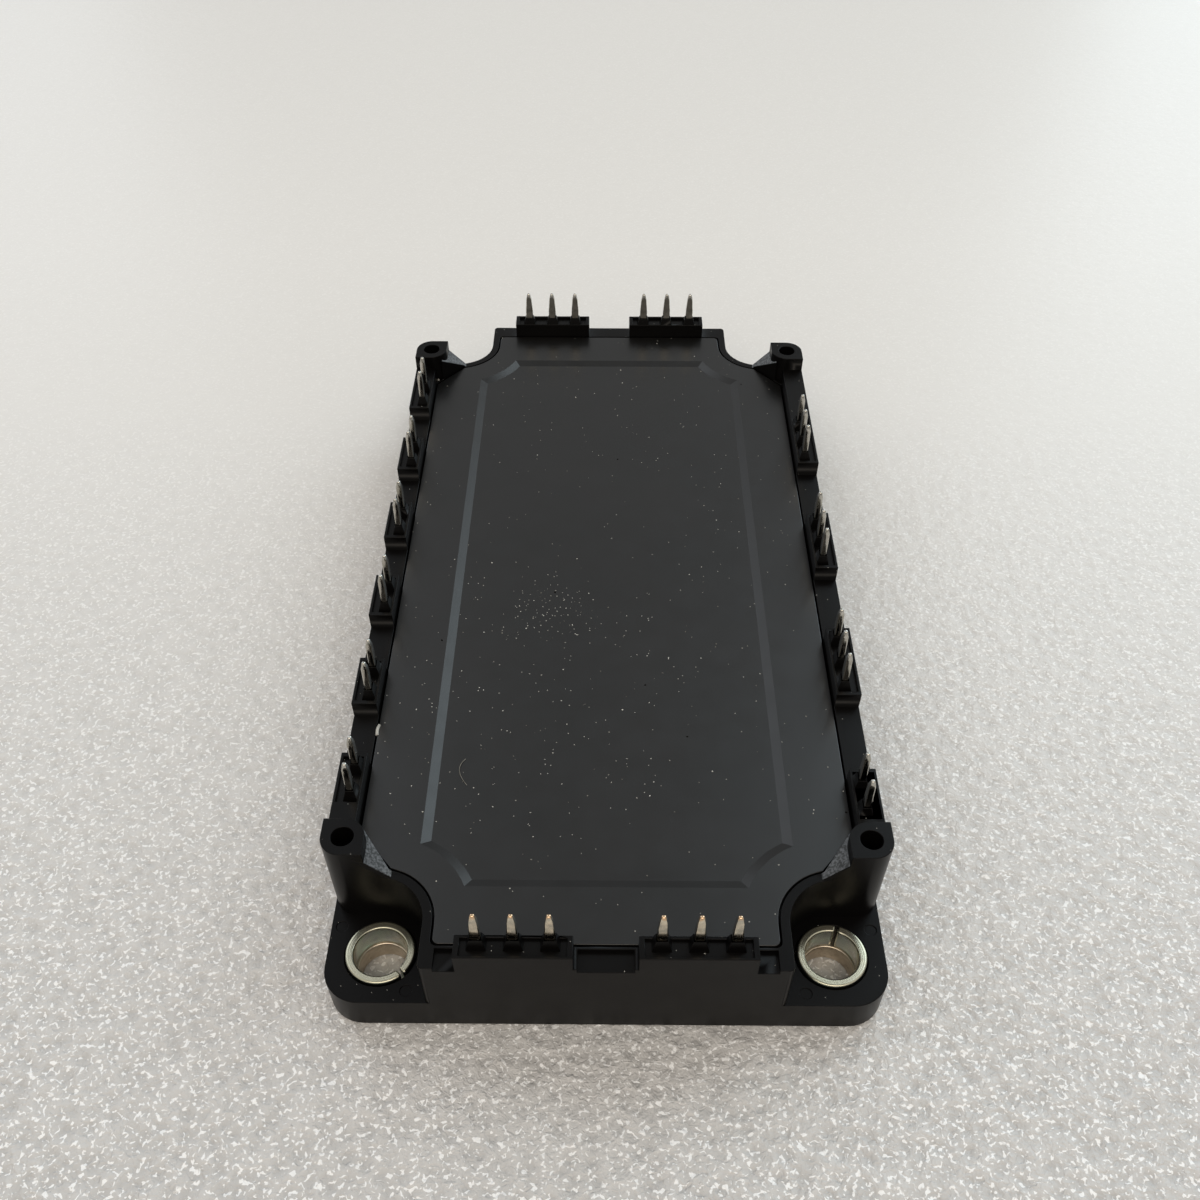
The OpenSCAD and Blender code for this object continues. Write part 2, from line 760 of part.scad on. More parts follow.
// Jumpers between a substrate and the next one
module bridge_wires(phase) {
    low_y = circuit_y(phase);
    high_y = circuit_y(phase + 1) - track_l / 2 + land;
    for (k = [-1:1]) {
        x = mean(plus_track) + 3 * k;
        wire([x, low_y + plus_top - land, chip_z], [x, high_y, chip_z], 1.5);
    }
    for (k = [-0.5, 0.5]) {
        x = mean(minus_track) + 2 * k;
        wire([x, low_y + track_l / 2 - land, chip_z], [x, high_y, chip_z], 1.2);
    }
}

// Supply wires from the end substrates to the pins at the short ends
module supply_wires() {
    front_y = circuit_y(0) - track_l / 2 + land;
    back_y = circuit_y(2) + track_l / 2 - land;
    for (k = [-1:1]) {
        plus_x = -end_group_x + k * pin_pitch;
        minus_x = end_group_x + k * pin_pitch;
        track_x = mean(minus_track) - 1.25 + 1.2 * k;
        wire([plus_x, front_y, chip_z], [plus_x, -foot_land_y, foot_z], 1.9);
        wire([plus_x, circuit_y(2) + plus_top - land, chip_z], [plus_x, foot_land_y, foot_z], 1.9);
        wire([track_x, front_y, chip_z], [minus_x, -foot_land_y, foot_z], 1.9);
        wire([track_x, back_y, chip_z], [minus_x, foot_land_y, foot_z], 1.9);
    }
}

module sensor_wires() {
    for (k = [-0.5, 0.5]) {
        y = thermistor_y + k * pin_pitch;
        wire([sensor_x + 1.2, y, chip_z], [foot_land_x, y, foot_z], 1.5);
    }
}

module bond_wires() {
    color("#d9dadb") {
        for (phase = [0:2]) {
            power_wires(phase);
            phase_wires(phase);
            control_wires(phase);
        }
        for (phase = [0, 1]) bridge_wires(phase);
        supply_wires();
        sensor_wires();
    }
}

// The gel fills the case round the whole circuit, up to its own level
module silicone_gel() {
    color("#dfe6e6") difference() {
        union() {
            slab(base_t, shelf_z) cavity_plan(well_x, well_y, well_cove_r);
            slab(shelf_z, gel_z) cavity_plan(side_cavity_x, end_cavity_y, cavity_cove_r);
        }
        for (phase = [0:2]) {
            copper_backing(phase);
            ceramic(phase);
            copper_tracks(phase);
            igbt_chips(phase);
            diode_chips(phase);
        }
        thermistor();
        bond_wires();
        at_every_pin() pin();
    }
}

// ---- pins by name ----

module solder_pin() {
    color("#cfcfca") pin();
}

module control_pin(i, side) {
    at_left_pin(pair_y[i - 1] + side * pin_pitch / 2) solder_pin();
}

module phase_pin(phase, i) {
    at_right_pin(phase_y[phase] + (i - 2) * pin_pitch) solder_pin();
}

module thermistor_pin(i) {
    at_right_pin(thermistor_y + (i - 1.5) * pin_pitch) solder_pin();
}

// A supply pin: end is -1 at the front, pole is -1 for plus on the left
module dc_pin(pole, end, i) {
    x = pole * end_group_x + (i - 2) * pin_pitch;
    if (end < 0) {
        at_front_pin(x) solder_pin();
    } else {
        at_back_pin(x) solder_pin();
    }
}

base_plate();
housing_frame();
lid();
sleeve(-hole_x, -hole_y, seam_angle[0]);  // sleeve_front_left
sleeve(hole_x, -hole_y, seam_angle[1]);  // sleeve_front_right
sleeve(-hole_x, hole_y, seam_angle[2]);  // sleeve_back_left
sleeve(hole_x, hole_y, seam_angle[3]);  // sleeve_back_right
for (i = [1:6]) {
    control_pin(i, -1);
    control_pin(i, 1);
}
for (phase = [0:2], i = [1:3]) {
    phase_pin(phase, i);
}
for (i = [1:2]) {
    thermistor_pin(i);
}
for (i = [1:3]) {
    dc_pin(-1, -1, i);
    dc_pin(1, -1, i);
    dc_pin(-1, 1, i);
    dc_pin(1, 1, i);
}
for (phase = [0:2]) {
    ceramic(phase);
    copper_tracks(phase);
    copper_backing(phase);
    igbt_chips(phase);
    diode_chips(phase);
}
thermistor();
bond_wires();
silicone_gel();
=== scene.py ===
"""Dresses the CAD frame of a three-phase IGBT power module, and sets the floor, lamps and camera round it.

Every size below is in millimetres unless it says otherwise; Blender's own units are metres.
"""

import logging
import math
from dataclasses import dataclass
from enum import Enum
from typing import Any

import bmesh
import bpy
from mathutils import Euler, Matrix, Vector


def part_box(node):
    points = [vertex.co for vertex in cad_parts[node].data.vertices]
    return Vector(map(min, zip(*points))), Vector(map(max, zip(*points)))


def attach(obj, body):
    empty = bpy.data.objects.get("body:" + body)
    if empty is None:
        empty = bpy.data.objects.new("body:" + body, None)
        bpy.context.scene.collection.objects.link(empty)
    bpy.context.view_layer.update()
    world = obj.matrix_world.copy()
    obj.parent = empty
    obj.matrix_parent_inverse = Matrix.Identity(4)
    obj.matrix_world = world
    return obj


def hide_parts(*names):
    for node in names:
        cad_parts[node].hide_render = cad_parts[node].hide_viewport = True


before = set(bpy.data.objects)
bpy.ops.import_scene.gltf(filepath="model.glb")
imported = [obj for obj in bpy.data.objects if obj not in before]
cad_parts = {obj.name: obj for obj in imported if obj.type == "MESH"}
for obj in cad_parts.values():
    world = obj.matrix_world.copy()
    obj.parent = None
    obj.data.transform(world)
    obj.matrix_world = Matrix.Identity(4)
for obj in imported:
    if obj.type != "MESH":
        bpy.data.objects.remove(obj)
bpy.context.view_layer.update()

MM = 0.001
ROOT = "root"
log = logging.getLogger("igbt_module")

# A mix node has sockets of the same name for every type of value, so its colours go by number.
SHARE, FIRST, SECOND = 0, 6, 7

# Nearly all of a noise texture's values lie in this range.
MOST = {"From Min": 0.3, "From Max": 0.7}

Point = tuple[float, float, float]


def srgb(code: str) -> tuple[float, float, float, float]:
    """Turns an sRGB hex colour into linear red, green, blue and alpha.

    Args:
        code: The colour as "#rrggbb".

    Returns:
        Four numbers from 0 to 1, with an alpha of 1.
    """
    parts = [int(code[i : i + 2], 16) / 255 for i in (1, 3, 5)]
    red, green, blue = (c / 12.92 if c <= 0.04045 else ((c + 0.055) / 1.055) ** 2.4 for c in parts)
    return red, green, blue, 1.0


def add(tree: bpy.types.NodeTree, kind: str, inputs: dict | None = None, **settings: Any) -> bpy.types.Node:
    """Adds a node, sets its properties, and fills or links its inputs.

    Args:
        tree: The node tree that the node goes into.
        kind: The node's type name.
        inputs: Input name or number to a value, a hex colour, a socket, or a node, whose first live
            output is then taken.
        settings: Properties of the node itself.

    Returns:
        The new node.
    """
    node = tree.nodes.new(kind)
    for name, value in settings.items():
        setattr(node, name, value)
    for key, value in (inputs or {}).items():
        if isinstance(value, bpy.types.Node):
            value = next(socket for socket in value.outputs if socket.enabled)
        if isinstance(value, bpy.types.NodeSocket):
            tree.links.new(value, node.inputs[key])
        else:
            node.inputs[key].default_value = srgb(value) if isinstance(value, str) else value
    return node


# ---- finishes ----


@dataclass(frozen=True)
class Finish:
    """A plain surface, and the base of every other finish.

    Attributes:
        name: The material's name.
        colour: The main colour, sRGB.
        roughness: The mean roughness.
        metallic: 1 for a bare metal and 0 for anything else.
    """

    name: str
    colour: str
    roughness: float
    metallic: float = 0.0

    def material(self) -> bpy.types.Material:
        """Builds the node material the first time it is asked for.

        Returns:
            The material.
        """
        found = bpy.data.materials.get(self.name)
        if found:
            return found
        material = bpy.data.materials.new(self.name)
        material.use_nodes = True
        tree = material.node_tree
        tree.nodes.clear()
        metres = add(tree, "ShaderNodeTexCoord").outputs["Object"]
        where = add(tree, "ShaderNodeVectorMath", {0: metres, "Scale": 1 / MM}, operation="SCALE")
        plain = {"Base Color": self.colour, "Roughness": self.roughness, "Metallic": self.metallic}
        shader = add(tree, "ShaderNodeBsdfPrincipled", plain | self.detail(tree, where))
        add(tree, "ShaderNodeOutputMaterial", {"Surface": shader})
        return material

    def detail(self, tree: bpy.types.NodeTree, where: bpy.types.Node) -> dict[str, Any]:
        """Adds the finish's own pattern; a plain finish has none.

        Args:
            tree: The material's node tree.
            where: Object coordinates in millimetres.

        Returns:
            What goes into the shader's sockets, by their names.
        """
        return {}


@dataclass(frozen=True)
class MouldedPlastic(Finish):
    """Black glass-filled polyester, moulded in a spark-eroded tool, which leaves an even satin grain.

    Attributes:
        bloom: Colour of the paler bloom that handling leaves.
        cloud_w: Width of the bloom's clouds.
        sheen_w: Width of the patches that shine more or less.
        gloss: How strongly it reflects; 0.5 is a bare polyester.
        grain: Size of the tool's grain, drawn several times too coarse so that it shows.
        grain_depth: Depth of the grain.
        sheen_and_scuff: How far the webs beside the posts get a painted highlight and pale scuffs, from 0 to
            1.
        scuff_w: Size of one of the pale scuffs.
        sheen_and_scuff_tints: Colours of a web's slope, painted lighter as a highlight where light falls on
            it, and of the pale scuffs on it.
        web_y: Where those webs begin along Y, either way from the middle.
        web_x: Where they end along X, either way from the middle.
        web_z: Height above which they stand.
    """

    bloom: str = "#1c1c1c"
    cloud_w: float = 12.0
    sheen_w: float = 3.2
    gloss: float = 0.5
    grain: float = 0.35
    grain_depth: float = 0.006
    sheen_and_scuff: float = 0.0
    scuff_w: float = 0.3
    sheen_and_scuff_tints: tuple[str, str] = ("#434546", "#73767a")
    web_y: float = 43.5
    web_x: float = 26.9
    web_z: float = 12.52

    def detail(self, tree: bpy.types.NodeTree, where: bpy.types.Node) -> dict[str, Any]:
        """Adds cloudy bloom, uneven gloss, the moulded grain, and any painted highlight and scuffs on the
        webs.

        Args:
            tree: The material's node tree.
            where: Object coordinates in millimetres.

        Returns:
            What goes into the shader's sockets, by their names.
        """
        cloud = add(
            tree,
            "ShaderNodeTexNoise",
            {"Vector": where, "Scale": 1 / self.cloud_w, "Detail": 1.5, "Distortion": 0.6},
        )
        mist = add(tree, "ShaderNodeMapRange", {"Value": cloud, "From Min": 0.35, "From Max": 0.75})
        colour = add(
            tree, "ShaderNodeMix", {SHARE: mist, FIRST: self.colour, SECOND: self.bloom}, data_type="RGBA"
        )
        if self.sheen_and_scuff:
            colour = self.sheened_and_scuffed(tree, where, colour)
        sheen = add(tree, "ShaderNodeTexNoise", {"Vector": where, "Scale": 1 / self.sheen_w, "Detail": 2.5})
        spread = {"To Min": self.roughness - 0.03, "To Max": self.roughness + 0.03}
        rough = add(tree, "ShaderNodeMapRange", {"Value": sheen} | MOST | spread)
        height = add(tree, "ShaderNodeTexNoise", {"Vector": where, "Scale": 1 / self.grain, "Detail": 3.0})
        bump = add(
            tree, "ShaderNodeBump", {"Strength": 0.5, "Distance": self.grain_depth * MM, "Height": height}
        )
        return {"Base Color": colour, "Roughness": rough, "Normal": bump, "Specular IOR Level": self.gloss}

    def sheened_and_scuffed(
        self, tree: bpy.types.NodeTree, where: bpy.types.Node, plain: bpy.types.Node
    ) -> bpy.types.Node:
        """Paints the webs' slopes, which face halfway up, lighter as a highlight, and lays pale scuffs over
        them.

        Args:
            tree: The material's node tree.
            where: Object coordinates in millimetres.
            plain: The colour of the rest.

        Returns:
            The colour with the painted highlight and the scuffs laid over it.
        """
        patch = add(tree, "ShaderNodeTexNoise", {"Vector": where, "Scale": 1 / self.scuff_w, "Detail": 4.0})
        marks = add(tree, "ShaderNodeMapRange", {"Value": patch, "From Min": 0.4, "From Max": 0.62})
        # Painted highlight: the slope tint lightens the whole web; only the paler marks on it are scuffs.
        sheen_tint, mark = self.sheen_and_scuff_tints
        worn = add(tree, "ShaderNodeMix", {SHARE: marks, FIRST: sheen_tint, SECOND: mark}, data_type="RGBA")
        # The webs are picked out by facing halfway up, where the light falls on them.
        normal = add(tree, "ShaderNodeNewGeometry").outputs["True Normal"]
        up = add(tree, "ShaderNodeSeparateXYZ", {0: normal}).outputs["Z"]
        share = add(tree, "ShaderNodeMath", {0: up, 1: math.sqrt(0.5), 2: 0.06}, operation="COMPARE")
        either_way = add(tree, "ShaderNodeVectorMath", {0: where}, operation="ABSOLUTE")
        place = add(tree, "ShaderNodeSeparateXYZ", {0: either_way}).outputs
        limits = (
            ("Y", self.web_y, "GREATER_THAN"),
            ("X", self.web_x, "LESS_THAN"),
            ("Z", self.web_z, "GREATER_THAN"),
        )
        for axis, limit, test in limits:
            inside = add(tree, "ShaderNodeMath", {0: place[axis], 1: limit}, operation=test)
            share = add(tree, "ShaderNodeMath", {0: share, 1: inside}, operation="MULTIPLY")
        share = add(tree, "ShaderNodeMath", {0: share, 1: self.sheen_and_scuff}, operation="MULTIPLY")
        return add(tree, "ShaderNodeMix", {SHARE: share, FIRST: plain, SECOND: worn}, data_type="RGBA")


@dataclass(frozen=True)
class TinnedPin(Finish):
    """Bright tin over a stamped copper alloy strip, drawn lengthwise, which can be cut bare at the tip.

    Attributes:
        dull: Colour of the tin where it has dulled.
        dull_w: Width of a dull patch.
        bare: Colour of the bare alloy at the tip.
        bare_share: How far the alloy shows there, from 0 to 1.
        bare_z: Height where the alloy begins to show, as a mean.
        ragged_w: Width of the jags in the tin's edge there.
        drawn: How many drawn lines there are to a millimetre, across and along the pin.
    """

    dull: str = "#a9a69c"
    dull_w: float = 0.8
    bare: str = "#dcb790"
    bare_share: float = 0.0
    bare_z: float = 20.0
    ragged_w: float = 0.5
    drawn: Point = (9.0, 9.0, 0.35)

    def detail(self, tree: bpy.types.NodeTree, where: bpy.types.Node) -> dict[str, Any]:
        """Adds dull patches, the bare tip and fine drawn lines along the pin.

        Args:
            tree: The material's node tree.
            where: Object coordinates in millimetres.

        Returns:
            What goes into the shader's sockets, by their names.
        """
        patch = add(tree, "ShaderNodeTexNoise", {"Vector": where, "Scale": 1 / self.dull_w, "Detail": 4.0})
        dulled = add(tree, "ShaderNodeMapRange", {"Value": patch, "From Min": 0.35, "From Max": 0.7})
        tin = add(
            tree, "ShaderNodeMix", {SHARE: dulled, FIRST: self.colour, SECOND: self.dull}, data_type="RGBA"
        )
        height = add(tree, "ShaderNodeSeparateXYZ", {0: where}).outputs["Z"]
        ragged = add(tree, "ShaderNodeTexNoise", {"Vector": where, "Scale": 1 / self.ragged_w, "Detail": 3.0})
        edge = add(tree, "ShaderNodeMath", {0: height, 1: ragged}, operation="ADD")
        reach = {"From Min": self.bare_z + 0.45, "From Max": self.bare_z + 0.75}
        bared = add(tree, "ShaderNodeMapRange", {"Value": edge, "To Max": self.bare_share} | reach)
        colour = add(tree, "ShaderNodeMix", {SHARE: bared, FIRST: tin, SECOND: self.bare}, data_type="RGBA")
        lines = add(tree, "ShaderNodeMapping", {"Vector": where, "Scale": self.drawn})
        streak = add(tree, "ShaderNodeTexNoise", {"Vector": lines, "Scale": 1.0, "Detail": 3.0})
        spread = {"To Min": self.roughness - 0.04, "To Max": self.roughness + 0.06}
        rough = add(tree, "ShaderNodeMapRange", {"Value": streak} | MOST | spread)
        bump = add(tree, "ShaderNodeBump", {"Strength": 0.12, "Distance": 0.006 * MM, "Height": streak})
        return {"Base Color": colour, "Roughness": rough, "Normal": bump}


@dataclass(frozen=True)
class ZincBush(Finish):
    """Rolled steel strip with a passivated zinc coat, which shows faint green and straw tints.

    Attributes:
        tints: Places from 0 to 1 and the coat's colours there.
        tint_w: Width of a tinted patch.
        centre: Place of the bushes' axes, the same in every corner of the case.
        top_z: Height of their upper ends.
        worn: Colour of the upper end, where handling has polished the coat.
        line: Width of a line that facing or rolling left.
    """

    tints: tuple[tuple[float, str], ...] = (
        (0.30, "#b6ccbd"),
        (0.45, "#cad2c6"),
        (0.58, "#c0c4c0"),
        (0.72, "#cfcab0"),
    )
    tint_w: float = 2.4
    centre: Point = (25.0, 55.0, 0.0)
    top_z: float = 5.6
    worn: str = "#c4bda4"
    line: float = 0.22

    def detail(self, tree: bpy.types.NodeTree, where: bpy.types.Node) -> dict[str, Any]:
        """Adds the coat's tints, the polished end, and the lines that facing and rolling left.

        Args:
            tree: The material's node tree.
            where: Object coordinates in millimetres.

        Returns:
            What goes into the shader's sockets, by their names.
        """
        patch = add(
            tree,
            "ShaderNodeTexNoise",
            {"Vector": where, "Scale": 1 / self.tint_w, "Detail": 3.0, "Distortion": 0.8},
        )
        coat = add(tree, "ShaderNodeValToRGB", {"Fac": patch})
        band = coat.color_ramp
        while len(band.elements) < len(self.tints):
            band.elements.new(0.5)
        for element, (place, code) in zip(band.elements, self.tints):
            element.position = place
            element.color = srgb(code)
        height = add(tree, "ShaderNodeSeparateXYZ", {0: where}).outputs["Z"]
        rim = {"From Min": self.top_z - 0.25, "From Max": self.top_z - 0.05, "To Max": 0.8}
        upper = add(tree, "ShaderNodeMapRange", {"Value": height} | rim)
        colour = add(tree, "ShaderNodeMix", {SHARE: upper, FIRST: coat, SECOND: self.worn}, data_type="RGBA")
        either_way = add(tree, "ShaderNodeVectorMath", {0: where}, operation="ABSOLUTE")
        arm = add(tree, "ShaderNodeVectorMath", {0: either_way, 1: self.centre}, operation="SUBTRACT")
        level = add(tree, "ShaderNodeVectorMath", {0: arm, 1: (1.0, 1.0, 0.0)}, operation="MULTIPLY")
        radius = add(tree, "ShaderNodeVectorMath", {0: level}, operation="LENGTH").outputs["Value"]
        spot = add(tree, "ShaderNodeCombineXYZ", {0: radius, 1: height})
        streak = add(tree, "ShaderNodeTexNoise", {"Vector": spot, "Scale": 1 / self.line, "Detail": 3.0})
        spread = {"To Min": self.roughness - 0.08, "To Max": self.roughness + 0.1}
        rough = add(tree, "ShaderNodeMapRange", {"Value": streak} | MOST | spread)
        bump = add(tree, "ShaderNodeBump", {"Strength": 0.6, "Distance": 0.03 * MM, "Height": streak})
        return {"Base Color": colour, "Roughness": rough, "Normal": bump}


@dataclass(frozen=True)
class GroundMetal(Finish):
    """Metal plate, foil or wire, rolled, ground or drawn along one direction, which leaves fine bright lines.

    Attributes:
        shade: The darker tint between the lines.
        stretch: How much longer than wide the lines are, along X, Y and Z.
        line: Width of a line.
        stain_w: Width of a stain.
    """

    shade: str = "#8f7d70"
    stretch: Point = (1.0, 0.04, 1.0)
    line: float = 0.4
    stain_w: float = 7.0

    def detail(self, tree: bpy.types.NodeTree, where: bpy.types.Node) -> dict[str, Any]:
        """Adds ground lines and slow stains.

        Args:
            tree: The material's node tree.
            where: Object coordinates in millimetres.

        Returns:
            What goes into the shader's sockets, by their names.
        """
        lines = add(tree, "ShaderNodeMapping", {"Vector": where, "Scale": self.stretch})
        streak = add(tree, "ShaderNodeTexNoise", {"Vector": lines, "Scale": 1 / self.line, "Detail": 4.0})
        stain = add(
            tree,
            "ShaderNodeTexNoise",
            {"Vector": where, "Scale": 1 / self.stain_w, "Detail": 4.0, "Distortion": 0.5},
        )
        mixed = add(tree, "ShaderNodeMath", {0: streak, 1: stain}, operation="MULTIPLY")
        clean = add(tree, "ShaderNodeMapRange", {"Value": mixed, "From Min": 0.12, "From Max": 0.38})
        colour = add(
            tree, "ShaderNodeMix", {SHARE: clean, FIRST: self.shade, SECOND: self.colour}, data_type="RGBA"
        )
        spread = {"To Min": self.roughness - 0.05, "To Max": self.roughness + 0.12}
        rough = add(tree, "ShaderNodeMapRange", {"Value": streak} | MOST | spread)
        bump = add(tree, "ShaderNodeBump", {"Strength": 0.25, "Distance": 0.01 * MM, "Height": streak})
        return {"Base Color": colour, "Roughness": rough, "Normal": bump}


@dataclass(frozen=True)
class SinteredCeramic(Finish):
    """Fired alumina: white, dead matte, with fine grey specks.

    Attributes:
        speck: Colour of the specks.
        grain: Size of a speck.
    """

    speck: str = "#b9b4a8"
    grain: float = 0.3

    def detail(self, tree: bpy.types.NodeTree, where: bpy.types.Node) -> dict[str, Any]:
        """Adds specks and a fine granular bump.

        Args:
            tree: The material's node tree.
            where: Object coordinates in millimetres.

        Returns:
            What goes into the shader's sockets, by their names.
        """
        grain = add(tree, "ShaderNodeTexNoise", {"Vector": where, "Scale": 1 / self.grain, "Detail": 5.0})
        specks = add(tree, "ShaderNodeMapRange", {"Value": grain, "From Min": 0.58, "From Max": 0.72})
        colour = add(
            tree, "ShaderNodeMix", {SHARE: specks, FIRST: self.colour, SECOND: self.speck}, data_type="RGBA"
        )
        bump = add(tree, "ShaderNodeBump", {"Strength": 0.2, "Distance": 0.01 * MM, "Height": grain})
        return {"Base Color": colour, "Normal": bump}


@dataclass(frozen=True)
class ChipFace(Finish):
    """A power chip's sputtered aluminium face, over rows of cell trenches drawn coarse enough to show.

    Attributes:
        trench: Colour between the cell rows.
        pitch: Distance between the drawn rows.
        hazed: Colour of the face where it is hazed.
        haze_w: Width of a hazed patch.
    """

    trench: str = "#59616b"
    pitch: float = 0.5
    hazed: str = "#aeb4b8"
    haze_w: float = 3.0

    def detail(self, tree: bpy.types.NodeTree, where: bpy.types.Node) -> dict[str, Any]:
        """Adds the cell rows and a slight haze.

        Args:
            tree: The material's node tree.
            where: Object coordinates in millimetres.

        Returns:
            What goes into the shader's sockets, by their names.
        """
        # A wave texture of scale 1 repeats every 0.314 units.
        wave = {"Vector": where, "Scale": 0.314 / self.pitch}
        rows = add(tree, "ShaderNodeTexWave", wave, bands_direction="Y").outputs["Fac"]
        line = add(tree, "ShaderNodeMapRange", {"Value": rows, "From Min": 0.0, "From Max": 0.35})
        patch = add(tree, "ShaderNodeTexNoise", {"Vector": where, "Scale": 1 / self.haze_w, "Detail": 3.0})
        haze = add(tree, "ShaderNodeMapRange", {"Value": patch, "From Min": 0.4, "From Max": 0.7})
        face = add(
            tree, "ShaderNodeMix", {SHARE: haze, FIRST: self.colour, SECOND: self.hazed}, data_type="RGBA"
        )
        colour = add(tree, "ShaderNodeMix", {SHARE: line, FIRST: self.trench, SECOND: face}, data_type="RGBA")
        bump = add(tree, "ShaderNodeBump", {"Strength": 0.3, "Distance": 0.01 * MM, "Height": line})
        return {"Base Color": colour, "Normal": bump}


@dataclass(frozen=True)
class ChipResistor(Finish):
    """A ceramic sensor chip with a fired silver cap on each end.

    Attributes:
        grainy: Colour of the ceramic's darker grains.
        grain: Size of a grain.
        cap: Colour of the end caps.
        middle_y: Place of the chip's middle along Y.
        body_half: Half the length of the bare ceramic.
    """

    grainy: str = "#3a2a22"
    grain: float = 0.2
    cap: str = "#c4c2bb"
    middle_y: float = 0.0
    body_half: float = 0.9

    def detail(self, tree: bpy.types.NodeTree, where: bpy.types.Node) -> dict[str, Any]:
        """Adds the silver caps and a grainy ceramic.

        Args:
            tree: The material's node tree.
            where: Object coordinates in millimetres.

        Returns:
            What goes into the shader's sockets, by their names.
        """
        along = add(tree, "ShaderNodeSeparateXYZ", {0: where}).outputs["Y"]
        offset = add(tree, "ShaderNodeMath", {0: along, 1: self.middle_y}, operation="SUBTRACT")
        reach = add(tree, "ShaderNodeMath", {0: offset}, operation="ABSOLUTE")
        edge = {"From Min": self.body_half - 0.05, "From Max": self.body_half + 0.05}
        cap = add(tree, "ShaderNodeMapRange", {"Value": reach} | edge)
        grain = add(tree, "ShaderNodeTexNoise", {"Vector": where, "Scale": 1 / self.grain, "Detail": 4.0})
        mottle = add(tree, "ShaderNodeMapRange", {"Value": grain, "From Min": 0.4, "From Max": 0.7})
        body = add(
            tree, "ShaderNodeMix", {SHARE: mottle, FIRST: self.colour, SECOND: self.grainy}, data_type="RGBA"
        )
        colour = add(tree, "ShaderNodeMix", {SHARE: cap, FIRST: body, SECOND: self.cap}, data_type="RGBA")
        return {"Base Color": colour, "Metallic": cap}


@dataclass(frozen=True)
class SiliconeGel(Finish):
    """Soft clear potting gel, with a faint milkiness and a gently uneven surface.

    Attributes:
        milky: Its colour where it is milky.
        milk_w: Width of a milky cloud.
        clearness: Share of the light that goes through.
    """

    milky: str = "#dfe8e6"
    milk_w: float = 5.0
    clearness: float = 0.92

    def detail(self, tree: bpy.types.NodeTree, where: bpy.types.Node) -> dict[str, Any]:
        """Makes the gel clear, with slow milky clouds.

        Args:
            tree: The material's node tree.
            where: Object coordinates in millimetres.

        Returns:
            What goes into the shader's sockets, by their names.
        """
        milk = add(tree, "ShaderNodeTexNoise", {"Vector": where, "Scale": 1 / self.milk_w, "Detail": 3.0})
        cloud = add(tree, "ShaderNodeMapRange", {"Value": milk, "From Min": 0.4, "From Max": 0.7})
        colour = add(
            tree, "ShaderNodeMix", {SHARE: cloud, FIRST: self.colour, SECOND: self.milky}, data_type="RGBA"
        )
        bump = add(tree, "ShaderNodeBump", {"Strength": 0.15, "Distance": 0.05 * MM, "Height": milk})
        return {"Base Color": colour, "Normal": bump, "Transmission Weight": self.clearness, "IOR": 1.41}


@dataclass(frozen=True)
class Lint(Finish):
    """Dust and lint, which scatter light and have almost no gloss.

    Attributes:
        shade: Colour of the darker specks.
        patch_w: Distance over which the shade changes.
    """

    shade: str = "#77746c"
    patch_w: float = 3.0

    def detail(self, tree: bpy.types.NodeTree, where: bpy.types.Node) -> dict[str, Any]:
        """Gives each speck its own shade.

        Args:
            tree: The material's node tree.
            where: Object coordinates in millimetres.

        Returns:
            What goes into the shader's sockets, by their names.
        """
        patch = add(tree, "ShaderNodeTexNoise", {"Vector": where, "Scale": 1 / self.patch_w, "Detail": 2.0})
        dark = add(tree, "ShaderNodeMapRange", {"Value": patch, "From Min": 0.35, "From Max": 0.65})
        colour = add(
            tree, "ShaderNodeMix", {SHARE: dark, FIRST: self.colour, SECOND: self.shade}, data_type="RGBA"
        )
        return {"Base Color": colour, "Specular IOR Level": 0.05}


